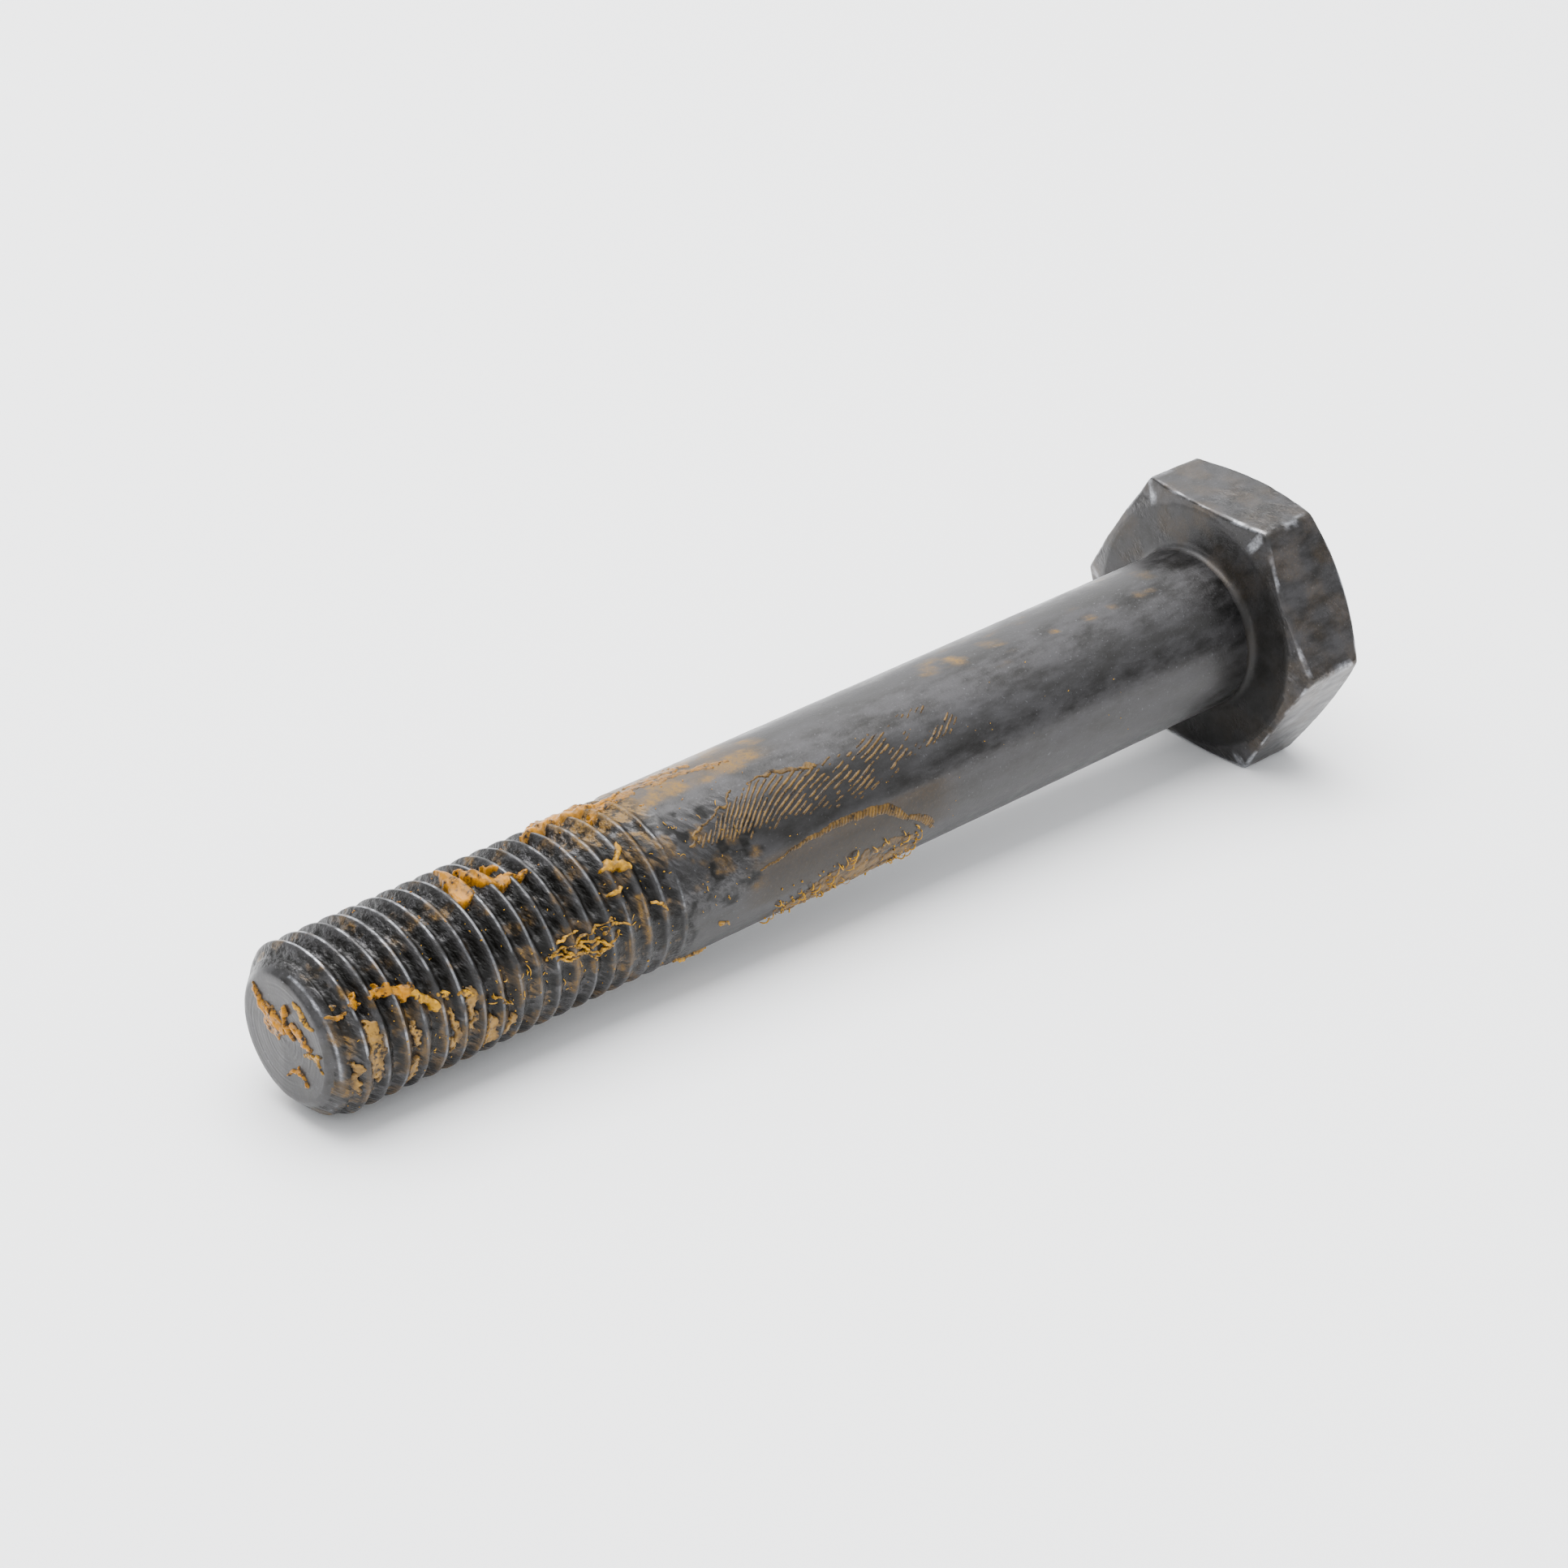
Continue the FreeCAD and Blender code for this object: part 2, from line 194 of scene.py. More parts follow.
def make_piece(
    name: str, points: Array, quads: Array, colours: dict[str, Array], material: bpy.types.Material
) -> bpy.types.Object:
    """Turn arrays into a shown object whose place is in its mesh.

    Args:
        name: the piece's name.
        points: vertices in mm, shape (n, 3).
        quads: vertex numbers, shape (m, 4).
        colours: for each vertex-colour attribute, values of shape (n, 3) or (n, 4).
        material: the piece's finish.

    Returns:
        The object, with doubled vertices at its poles and seams merged.
    """
    mesh = bpy.data.meshes.new(name)
    mesh.from_pydata((points * MM).tolist(), [], outward(points, quads).tolist())
    for attribute, values in colours.items():
        layer = mesh.attributes.new(attribute, "FLOAT_COLOR", "POINT")
        rgba = np.column_stack([values, np.ones(len(values))])[:, :4].astype(np.float32)
        layer.data.foreach_set("color", rgba.ravel())
    cells = bmesh.new()
    cells.from_mesh(mesh)
    bmesh.ops.remove_doubles(cells, verts=cells.verts, dist=1e-4 * MM)
    cells.to_mesh(mesh)
    cells.free()
    mesh.polygons.foreach_set("use_smooth", np.ones(len(mesh.polygons), dtype=bool))
    mesh.materials.append(material)
    piece = bpy.data.objects.new(name, mesh)
    bpy.context.scene.collection.objects.link(piece)
    return piece


def report_piece(piece: bpy.types.Object) -> None:
    """Log a finished piece and its size."""
    log.info("%s: %d faces", piece.name, len(piece.data.polygons))


# ---------------------------------------------------------------------------------------------
# The bolt's form


@dataclass(frozen=True)
class BoltForm:
    """The steel's sizes in mm and degrees, and its radius anywhere along it.

    A place on the bolt is the distance along it from the bearing face and the angle round it, from
    +Y towards +Z.
    """

    shank_radius: float = 8.0
    thread_radius: float = 7.95
    pitch: float = 2.0
    thread_depth: float = 1.227
    first_crest: float = 1.594
    runout_end: float = 70.5
    runout_length: float = 4.0
    point: float = 108.5
    point_face_radius: float = 5.8
    rim_rounding: float = 0.35
    crest_rounding: float = 0.05
    root_rounding: float = 0.12
    runout_rounding: float = 0.04
    chamfer_rounding: float = 0.06

    @property
    def chamfer_start(self) -> float:
        """Where the 45 degree chamfer meets the crests."""
        return self.point - (self.thread_radius - self.point_face_radius)

    def crest_offset(self, along: Array, angle: Array) -> Array:
        """Signed distance along the bolt from the nearest crest line, in mm."""
        turns = (along - self.first_crest) / self.pitch - angle / 360.0
        return (turns - np.round(turns)) * self.pitch

    def radius(self, along: Array, angle: Array) -> Array:
        """Radius of the steel, in mm.

        The groove falls from a flat crest, an eighth of the pitch wide, at 60 degrees between its
        flanks to a flat root. A cone rises out of it where the thread runs out, and another cuts
        the point.

        Args:
            along: distances along the bolt in mm.
            angle: angles in degrees.

        Returns:
            Radii of the same shape.
        """
        offset = np.abs(self.crest_offset(along, angle))
        fall = (offset - self.pitch / 16.0) * math.sqrt(3.0)
        below_crest = smooth_max(fall, 0.0, self.crest_rounding)
        depth = smooth_min(below_crest, self.thread_depth, self.root_rounding)
        groove = self.thread_radius - depth
        rise = (along - self.runout_end) / self.runout_length * self.thread_depth
        cone = np.where(rise < 0.0, self.shank_radius, self.thread_radius - rise)
        body = smooth_max(groove, cone, self.runout_rounding)
        return smooth_min(body, self.point_radius(along), self.chamfer_rounding)

    def surface(self, along: Array, angle: Array) -> Array:
        """Radius of what shows: the steel with old grease caked in its groove.

        The cake fills a share of the groove that changes slowly along and round the bolt, and is
        drawn into slanting streaks across the flanks.

        Args:
            along: distances along the bolt in mm.
            angle: angles in degrees.

        Returns:
            Radii of the same shape.
        """
        steel = self.radius(along, angle)
        side = half_turns(angle)
        places = on_cylinder(along, angle, self.shank_radius + 0.0 * steel)
        front, inner = bump_between(side, -60.0, 18.0, 22.0), bump_between(along, 60.0, 77.0, 4.0)
        share = 0.14 + 0.34 * front + 0.3 * inner
        share = share + 0.26 * bump_between(along, 78.0, 89.0, 3.0) * bump_between(side, -4.0, 26.0, 10.0)
        share = share + 0.16 * rough_noise(places, 2.6, 121)
        room = np.clip(self.crest(along) - steel, 0.0, None)
        arc = np.radians(side) * self.shank_radius
        drawn = np.stack([along * 0.45 + arc * 0.25, arc - along * 0.5, 0.0 * arc], axis=-1)
        streaks = noise(drawn, 0.5, 131) + 0.5 * noise(drawn, 0.28, 132)
        return steel + room * (np.clip(share, 0.05, 0.8) + 0.07 * streaks)

    def crest(self, along: Array) -> Array:
        """Radius of the crests, which the point's chamfer cuts down, in mm."""
        return np.minimum(self.thread_radius, self.point_radius(along))

    def point_radius(self, along: Array) -> Array:
        """Radius of the point's chamfer, in mm, and a large one further back."""
        return self.point_face_radius + np.maximum(self.point - along, 0.0)

    def point_height(self, radius: Array) -> Array:
        """Distance along the bolt of the point's face and chamfer at a radius, in mm."""
        return self.point - np.maximum(radius - self.point_face_radius, 0.0)


# ---------------------------------------------------------------------------------------------
# Materials


def linear(code: str) -> tuple[float, float, float, float]:
    """Linear RGBA from an sRGB hex code."""
    parts = [int(code[k : k + 2], 16) / 255.0 for k in (1, 3, 5)]
    return tuple(p / 12.92 if p <= 0.04045 else ((p + 0.055) / 1.055) ** 2.4 for p in parts) + (1.0,)


def cells_of(size_mm: float) -> float:
    """The texture scale whose features are about size_mm across on Object coordinates in metres."""
    return 1.0 / (size_mm * MM)


def add_node(
    tree: bpy.types.NodeTree,
    kind: str,
    settings: dict[str, Any] | None = None,
    sockets: dict[str | int, Any] | None = None,
) -> bpy.types.Node:
    """Add one node.

    Args:
        tree: the tree that it goes in.
        kind: the node's type name, without the ShaderNode that it starts with.
        settings: properties of the node.
        sockets: for each input, a plain value or another node's output to link.

    Returns:
        The new node.
    """
    node = tree.nodes.new("ShaderNode" + kind)
    for name, value in (settings or {}).items():
        setattr(node, name, value)
    for name, value in (sockets or {}).items():
        if isinstance(value, bpy.types.NodeSocket):
            tree.links.new(value, node.inputs[name])
        else:
            node.inputs[name].default_value = value
    return node


def new_tree(name: str) -> tuple[bpy.types.Material, bpy.types.NodeTree]:
    """An empty node material and its tree."""
    material = bpy.data.materials.new(name)
    material.use_nodes = True
    material.node_tree.nodes.clear()
    return material, material.node_tree


@dataclass(frozen=True)
class OiledBlackSteel:
    """Quenched and tempered carbon steel, forged, with its black scale under a film of oil.

    It gives the eye a dark satin metal drawn into faint lines, brighter where the scale has rubbed off and
    where a highlight is painted on the thread's crests, brown where thin grease has stained it, and black
    where old grease is caked in the grooves and where shade is painted under the bar and on the head's bearing
    face.
    The scale's real grain is a few hundredths of a millimetre. It is too fine to draw, so grain_mm is
    coarser, and so is streak_mm, which stands for much finer drag lines in the caked grease.
    """

    scale_colour: str = "#4b4a4b"
    dark_colour: str = "#3a3938"
    # The rubbed colour also paints the thread crests' highlight, and the wet colour the shade under the bar
    # and on the head's bearing face.
    rubbed_and_highlight_colour: str = "#bec0c6"
    film_colour: str = "#6f5322"
    wet_grease_and_shade_colour: str = "#0b0a08"
    grain_mm: float = 0.3
    mottle_mm: float = 1.7
    streak_mm: float = 0.6
    streak_way: tuple[float, float, float] = (-0.6, 0.613, -0.514)
    roughness: float = 0.4

    def build(self) -> bpy.types.Material:
        """Make the material.

        Returns:
            The material, on Object coordinates and the mesh's own finish attribute.
        """
        material, tree = new_tree("oiled_black_steel")
        place = add_node(tree, "TexCoord").outputs["Object"]
        finish = add_node(tree, "Attribute", {"attribute_name": FINISH_AND_PAINTED_LIGHT}).outputs
        layers = add_node(tree, "SeparateColor", sockets={0: finish["Color"]}).outputs
        sockets = {"Vector": place, "Scale": (2.5, 1.0, 1.0)}
        drawn = add_node(tree, "Mapping", {"vector_type": "TEXTURE"}, sockets).outputs[0]
        turn = Vector(self.streak_way).to_track_quat("X", "Z").to_euler()
        sockets = {"Vector": place, "Rotation": turn, "Scale": (5.0, 1.0, 1.0)}
        slanted = add_node(tree, "Mapping", {"vector_type": "TEXTURE"}, sockets).outputs[0]
        patterns = []
        for way, size_mm, detail, rough in (
            (place, self.grain_mm, 3.0, 0.65),
            (drawn, self.mottle_mm, 6.0, 0.65),
            (slanted, self.streak_mm, 3.0, 0.6),
        ):
            sockets = {"Vector": way, "Scale": cells_of(size_mm), "Detail": detail, "Roughness": rough}
            patterns.append(add_node(tree, "TexNoise", sockets=sockets).outputs[0])
        grain, mottle, streak = patterns
        patch, speck, uneven, line = (
            add_node(tree, "MapRange", EASED, sockets).outputs[0]
            for sockets in (
                {0: mottle, 1: 0.3, 2: 0.7},
                {0: grain, 1: 0.6, 2: 0.85, 4: 0.2},
                {0: grain, 1: 0.3, 2: 0.62, 3: 0.4},
                {0: streak, 1: 0.56, 2: 0.44, 4: 0.95},
            )
        )
        # The wear layer also brings the crests' painted highlight, and the wet layer the painted shade under
        # the bar and on the head's bearing face.
        wear, film, line = (
            add_node(tree, "Math", TIMES, {0: mask, 1: pattern}).outputs[0]
            for mask, pattern in ((layers[0], uneven), (layers[1], uneven), (finish["Alpha"], line))
        )
        black = add_node(tree, "Math", LARGER, {0: line, 1: layers[2]}).outputs[0]
        base = linear(self.dark_colour)
        for share, colour in (
            (patch, self.scale_colour),
            (speck, self.rubbed_and_highlight_colour),
            (wear, self.rubbed_and_highlight_colour),
            (film, self.film_colour),
            (black, self.wet_grease_and_shade_colour),
        ):
            sockets = {0: share, 6: base, 7: linear(colour)}
            base = add_node(tree, "Mix", BLEND, sockets).outputs[2]
        cover = add_node(tree, "Math", LARGER, {0: film, 1: black}).outputs[0]
        bare = add_node(tree, "Math", {"operation": "SUBTRACT"}, {0: 1.0, 1: cover}).outputs[0]
        low = self.roughness - 0.1
        sockets = {0: mottle, 1: 0.3, 2: 0.7, 3: low, 4: low + 0.2}
        rough = add_node(tree, "MapRange", EASED, sockets).outputs[0]
        sockets = {"Height": grain, "Strength": 0.5, "Distance": 0.03 * MM}
        fine = add_node(tree, "Bump", sockets=sockets).outputs[0]
        sockets = {"Height": streak, "Strength": finish["Alpha"], "Distance": 0.3 * MM, "Normal": fine}
        caked = add_node(tree, "Bump", sockets=sockets).outputs[0]
        sockets = {
            "Base Color": base,
            "Metallic": bare,
            "Roughness": rough,
            "Normal": caked,
            "Specular IOR Level": 0.15,
            "Coat Weight": 0.08,
            "Coat Roughness": 0.2,
            "Coat IOR": 1.47,
        }
        shader = add_node(tree, "BsdfPrincipled", sockets=sockets).outputs[0]
        add_node(tree, "OutputMaterial", sockets={"Surface": shader})
        return material


@dataclass(frozen=True)
class ThreadGrease:
    """Lithium grease, pulled about by hands and nuts, picking up iron dust.

    It gives the eye a soft waxy gloss: bright where it stands thick, brown where it is wiped thin,
    with dark dust in its folds. The dust's real grains are too fine to draw, so fold_mm is coarser.
    """

    name: str
    thick_colour: str
    thin_colour: str
    dust_colour: str = "#1a1208"
    roughness: float = 0.36
    fold_mm: float = 0.35

    def build(self) -> bpy.types.Material:
        """Make the material.

        Returns:
            The material, on Object coordinates and the mesh's own thickness attribute.
        """
        material, tree = new_tree(self.name)
        place = add_node(tree, "TexCoord").outputs["Object"]
        body = add_node(tree, "Attribute", {"attribute_name": BODY}).outputs["Color"]
        layers = add_node(tree, "SeparateColor", sockets={0: body}).outputs
        sockets = {"Vector": place, "Scale": cells_of(self.fold_mm), "Detail": 4.0, "Roughness": 0.6}
        fold = add_node(tree, "TexNoise", sockets=sockets).outputs[0]
        sockets = {0: layers[0], 6: linear(self.thin_colour), 7: linear(self.thick_colour)}
        base = add_node(tree, "Mix", BLEND, sockets).outputs[2]
        uneven = add_node(tree, "MapRange", EASED, {0: fold, 1: 0.4, 2: 0.62}).outputs[0]
        dust = add_node(tree, "Math", TIMES, {0: layers[1], 1: uneven}).outputs[0]
        sockets = {0: dust, 6: base, 7: linear(self.dust_colour)}
        base = add_node(tree, "Mix", BLEND, sockets).outputs[2]
        sockets = {"Height": fold, "Strength": 0.6, "Distance": 0.1 * MM}
        soft = add_node(tree, "Bump", sockets=sockets).outputs[0]
        sockets = {
            "Base Color": base,
            "Roughness": self.roughness,
            "Specular IOR Level": 0.22,
            "Normal": soft,
            "Subsurface Weight": 0.12,
            "Subsurface Radius": (1.0, 0.6, 0.2),
            "Subsurface Scale": 0.3 * MM,
        }
        shader = add_node(tree, "BsdfPrincipled", sockets=sockets).outputs[0]
        add_node(tree, "OutputMaterial", sockets={"Surface": shader})
        return material


@dataclass(frozen=True)
class StudioBoard:
    """Painted white board under the bolt, matt and plain."""

    colour: str = "#f7f7f7"

    def build(self) -> bpy.types.Material:
        """Make the material."""
        material, tree = new_tree("studio_board")
        shader_sockets = {"Base Color": linear(self.colour), "Roughness": 0.9}
        shader = add_node(tree, "BsdfPrincipled", sockets=shader_sockets).outputs[0]
        add_node(tree, "OutputMaterial", sockets={"Surface": shader})
        return material


class Grease(Enum):
    """The three looks of the same grease."""

    AMBER = ThreadGrease("amber_thread_grease", "#a46c00", "#6b4a0c", roughness=0.28)
    STRAW = ThreadGrease("straw_thread_grease", "#b8860c", "#6e4f14")
    DIRTY = ThreadGrease("dirty_thread_grease", "#8a682c", "#3a290d")


GREASE_MATERIALS: dict[Grease, bpy.types.Material] = {}


# ---------------------------------------------------------------------------------------------
# The steel pieces


@dataclass
class ShankAndThread:
    """Plain shank, run-out, thread and point in one closed surface."""

    form: BoltForm
    material: bpy.types.Material
    columns: int = 224
    half_crest_rows: tuple[float, ...] = (0.07, 0.15, 0.25, 0.42, 0.62, 0.8, 0.9)
    first_turn: int = 22
    last_turn: int = 58
    plain_turn: float = 34.0
    inner_end: float = -1.0
    nick_depth: float = 0.035
    pit_depth: float = 0.012
    turning_feed: float = 0.42
    turning_depth: float = 0.014
    seam_angle: float = -150.0

    middle = Zone((76.0, 103.0, 4.0), (22.0, 66.0, 10.0))
    front = Zone((91.0, 107.0, 1.5), (-14.0, 26.0, 8.0))
    web = Zone((76.0, 91.0, 2.0), (-4.0, 28.0, 8.0))
    runout = Zone((64.0, 76.0, 3.0), (4.0, 62.0, 12.0))
    top = Zone((71.5, 80.0, 1.5), (58.0, 98.0, 10.0))
    back = Zone((58.0, 76.0, 4.0), (84.0, 128.0, 8.0))
    wiped = Zone((43.0, 61.0, 5.0), (-14.0, 15.0, 5.0))
    stain = Zone((10.0, 32.0, 8.0), (78.0, 110.0, 12.0))
    printed = Zone((46.0, 68.0, 5.0), (26.0, 52.0, 10.0))

    def places(self) -> tuple[Array, Array]:
        """Lay rows along the helix, so that crests and roots run along the mesh's own lines.

        A vertex's turn is its row's turn plus its share of a whole turn round the bolt. The
        distance along the outline is the pitch times the turn on the thread, and runs up to five
        times faster on the plain shank.

        Returns:
            The distance along the outline in mm and the angle in degrees, both (rows, columns).
        """
        offsets = np.array([side * row for side in (-1.0, 1.0) for row in self.half_crest_rows])
        share = np.sort(np.mod(offsets / self.form.pitch, 1.0))
        turns = (np.arange(self.first_turn, self.last_turn + 1)[:, None] + share).ravel()
        angle = self.seam_angle + np.arange(self.columns) * 360.0 / self.columns
        turn = turns[:, None] + angle / 360.0
        back = np.maximum(self.plain_turn - turn, 0.0)
        eased = np.minimum(back, 2.0)
        plain = 2.0 * back + 2.0 * eased**2 + 8.0 * (back - eased)
        along = self.form.first_crest + self.form.pitch * np.maximum(turn, self.plain_turn) - plain
        return along, np.broadcast_to(angle, along.shape)

    def outline(self, along: Array) -> tuple[Array, Array]:
        """Follow the outline's length: inner end disc, bar, chamfer, rounded rim and point face.

        Args:
            along: distances along the outline in mm, which on the bar are those along the bolt.

        Returns:
            Distance along the bolt, and the largest radius that the steel may have there.
        """
        form = self.form
        reach = form.thread_radius - form.point_face_radius
        rim = form.rim_rounding
        corner = form.chamfer_start + reach * math.sqrt(2.0)
        before_chamfer = form.chamfer_start - 0.4
        bend = np.linspace(0.0, 1.0, 9)
        rim_x = form.point - rim / math.sqrt(2.0) * (1.0 - bend) ** 2
        rim_r = form.point_face_radius + rim / math.sqrt(2.0) * (1.0 - bend) ** 2 - rim * bend**2
        inner_disc = [self.inner_end - form.shank_radius, self.inner_end]
        length = np.concatenate([inner_disc, [before_chamfer], corner + rim * (2 * bend - 1)])
        length = np.append(length, corner + form.point_face_radius)
        far_x = np.concatenate([[self.inner_end, self.inner_end, before_chamfer], rim_x, [form.point]])
        bar = form.shank_radius + 1.0
        limit = np.concatenate([[0.0, bar, bar], rim_r, [0.0]])
        return np.interp(along, length, far_x), np.interp(along, length, limit)

    def build(self) -> bpy.types.Object:
        """Make the piece.

        Returns:
            The closed surface. Each row's last column joins the row a turn on, and its ends are poles.
        """
        along, angle = self.places()
        x, limit = self.outline(along)
        radius = np.minimum(self.form.surface(x, angle), limit)
        points = on_cylinder(x, angle, radius)
        on_face = along > self.form.point + 1.0
        crest = np.abs(self.form.crest_offset(x, angle)) < 0.2
        nicks = np.minimum(noise(points, (0.6, 0.9, 0.9), 11) + 0.15, 0.0)
        nicks = nicks * crest * (x > self.form.runout_end)
        pits = rough_noise(points, 1.1, 21) * self.pit_depth + nicks * self.nick_depth
        radius = np.where(on_face | (radius < 0.01), radius, radius + pits)
        rings = np.cos(2.0 * math.pi * radius / self.turning_feed)
        turned = 0.01 * noise(points, 0.8, 31) - self.turning_depth * rings
        points = on_cylinder(x + np.where(on_face, turned, 0.0), angle, radius)
        pole = radius < POLE
        points[pole, 1:] = 0.0
        points[pole, 0] = np.where(x[pole] > 0.0, self.form.point, self.inner_end)
        rows, columns = along.shape
        index = np.arange(rows * columns).reshape(rows, columns)
        step = 2 * len(self.half_crest_rows)
        right = np.full_like(index, -1)
        right[:, :-1] = index[:, 1:]
        right[:-step, -1] = index[step:, 0]
        quads = quads_between(index, right)
        quads = quads[(quads >= 0).all(axis=1)]
        colours = {FINISH_AND_PAINTED_LIGHT: self.finish(x, angle, points).reshape(-1, 4)}
        return make_piece("bolt_shank_and_thread", points.reshape(-1, 3), quads, colours, self.material)

    def finish(self, x: Array, angle: Array, points: Array) -> Array:
        """Work out where the steel is rubbed bright, stained by grease or wet, and where a highlight and shade
        are painted on it.

        Args:
            x: distance along the bolt in mm.
            angle: angle in degrees.
            points: positions in mm.

        Returns:
            Wear with the crests' painted highlight, film, wet grease with the painted shade under the bar, and
            caked grease, each between 0 and 1, shape (rows, columns, 4).
        """
        form = self.form
        upper = half_turns(angle)
        zones = (self.middle, self.front, self.web, self.runout, self.top)
        middle, front, web, runout, top = (zone.cover(x, upper) for zone in zones)
        zones = (self.back, self.wiped, self.stain, self.printed)
        back, wiped, stain, printed = (zone.cover(x, upper) for zone in zones)
        offset = np.abs(form.crest_offset(x, angle))
        threaded = smooth_step(69.5, 72.0, x) * (x < form.point - 0.5)
        below = smooth_step(4.0, -10.0, upper) * threaded

        # Bright crests: partly real wear, partly a painted highlight, kept as narrow as a highlight and
        # stronger on the upper side, where the light falls.
        crest = (1.0 - smooth_step(0.03, 0.13, offset)) * threaded
        strength = 0.4 + 0.6 * smooth_step(82.0, 100.0, x)
        strength = strength * (0.45 + 0.55 * bump_between(upper, 20.0, 150.0, 30.0))
        wear = crest * strength * smooth_step(-0.5, 0.4, rough_noise(points, 1.6, 41))

        streaks = noise(points, (0.22, 2.2, 2.2), 51) + 0.5 * noise(points, (0.12, 1.1, 1.1), 52)
        streaks = smooth_step(0.05, 0.75, streaks)
        share = 0.2 * threaded + 0.36 * front + 0.3 * web + 0.3 * runout + 0.3 * top
        share = share + 0.5 * back + 0.2 * below + 0.2 * stain
        film = smooth_step(-0.12, 0.3, 1.4 * share - 0.7 + 0.9 * rough_noise(points, 1.7, 61))
        film = film * (0.45 + 0.55 * streaks)
        film = film * smooth_step(0.0, 0.15, share) + 0.5 * back * share + 0.2 * wiped

        share = 0.42 * threaded + 0.4 * middle + 0.25 * front + 0.42 * web + 0.4 * runout
        share = share - 0.2 * threaded * smooth_step(70.0, 90.0, upper)
        black = smooth_step(-0.1, 0.35, 1.4 * share - 0.7 + 0.9 * rough_noise(points, 1.3, 71))
        black = black * smooth_step(0.0, 0.15, share)
        groove = smooth_step(0.12, 0.5, offset) * threaded + (1.0 - threaded)
        wet_grease_and_shade = black * (0.3 + 0.7 * groove) * (1.0 - 0.8 * film)
        wet_grease_and_shade = wet_grease_and_shade + 0.35 * wiped + 0.6 * printed * (1.0 - runout)
        # Painted shade: the lower side of the whole bar, from straight down round to +Y, is darkened like wet
        # grease.
        wet_grease_and_shade = wet_grease_and_shade + 0.3 * bump_between(upper, -90.0, 6.0, 12.0)
        flanks = 0.5 + 0.5 * smooth_step(0.15, 0.5, offset)
        cake = np.maximum(threaded * flanks, 0.6 * runout)
        return np.clip(np.stack([wear, film, wet_grease_and_shade, cake], axis=-1), 0.0, 1.0)


@dataclass
class HexHead:
    """Hexagon head with its cones, bearing face and fillet, its edges rounded by wear."""

    form: BoltForm
    material: bpy.types.Material
    half_flats: float = 13.15
    height: float = 9.8
    bearing_radius: float = 12.2
    bearing_slope: float = 15.0
    crown_radius: float = 10.7
    crown_slope: float = 30.0
    fillet: float = 0.9
    edge_rounding: float = 0.35
    columns: int = 288
    scale_depth: float = 0.03

    def hexagon(self, angle: Array, sharpness: float) -> Array:
        """Radius of a hexagon with rounded corners.

        The distance to the flats over the sum of each flat's cosine to a high power, which picks
        the nearest flat and rounds the corner between two.
        """
        facing = np.radians(angle[..., None] - 90.0 - 60.0 * np.arange(6))
        nearest = (np.maximum(np.cos(facing), 0.0) ** sharpness).sum(axis=-1) ** (1.0 / sharpness)
        return self.half_flats / nearest

    def outline(self, angle: Array) -> tuple[Array, Array]:
        """Corners of the head's outline at each angle, from the shank round to the top's centre.

        Args:
            angle: angles in degrees, shape (columns,).

        Returns:
            Corners as (distance along, radius), shape (corners, columns, 2), and how far each
            corner is rounded off, shape (corners, columns).
        """
        hexagon = self.hexagon(angle, 140.0)
        full = np.ones_like(angle)
        shank = self.form.shank_radius
        lower = -(hexagon - self.bearing_radius) * math.tan(math.radians(self.bearing_slope))
        upper = -self.height + (hexagon - self.crown_radius) * math.tan(math.radians(self.crown_slope))
        corners = [
            (2.0 * full, 0.0 * full),
            (2.0 * full, (shank - 0.04) * full),
            (0.0 * full, shank * full),
            (0.0 * full, self.bearing_radius * full),
            (lower, hexagon),
            (upper, hexagon),
            (-self.height * full, self.crown_radius * full),
            (-self.height * full, 0.0 * full),
        ]
        around = on_cylinder(0.0 * full, angle, hexagon)
        wear = self.edge_rounding * (1.0 + 0.5 * noise(around, 2.5, 81))
        inner = [0.0 * full, 0.05 * full, self.fillet * full, 0.15 * full]
        rounding = np.stack([*inner, wear, wear * 0.8, wear * 0.7, 0.0 * full])
        return np.stack([np.stack(c, axis=-1) for c in corners]), rounding

    def build(self) -> bpy.types.Object:
        """Make the piece.

        Each corner is replaced by a parabola between two points set back from it, and the straight
        runs between them are divided evenly.

        Returns:
            The closed surface, with a pole at each end.
        """
        angle = np.arange(self.columns) * 360.0 / self.columns
        corners, rounding = self.outline(angle)
        runs = (6, 2, 10, 5, 26, 8, 20)
        rows, edges = [corners[0]], [np.zeros(self.columns)]
        leave = corners[0]
        for k in range(1, len(corners)):
            before, here = corners[k - 1], corners[k]
            inward = before - here
            inward /= np.linalg.norm(inward, axis=-1, keepdims=True)
            arrive = here + inward * rounding[k][:, None]
            for t in np.linspace(0.0, 1.0, runs[k - 1] + 1)[1:]:
                rows.append(leave + (arrive - leave) * t)
                edges.append(np.zeros(self.columns))
            if k == len(corners) - 1:
                break
            onward = corners[k + 1] - here
            onward /= np.linalg.norm(onward, axis=-1, keepdims=True)
            leave = here + onward * rounding[k][:, None]
            for t in np.linspace(0.0, 1.0, 7)[1:]:
                rows.append((1 - t) ** 2 * arrive + 2 * t * (1 - t) * here + t**2 * leave)
                edges.append(np.full(self.columns, math.sin(math.pi * t) * (k >= 4)))
        outline, edge = np.stack(rows), np.stack(edges)
        turn = np.broadcast_to(angle, outline.shape[:2])
        points = on_cylinder(outline[..., 0], turn, outline[..., 1])
        points = self.weathered(points, outline[..., 1])
        count = len(outline)
        index = np.arange(count * self.columns).reshape(count, self.columns)
        right = np.roll(index, -1, axis=1)
        quads = quads_between(index, right)
        colours = {FINISH_AND_PAINTED_LIGHT: self.finish(points, turn, outline, edge).reshape(-1, 4)}
        return make_piece("bolt_head", points.reshape(-1, 3), quads, colours, self.material)

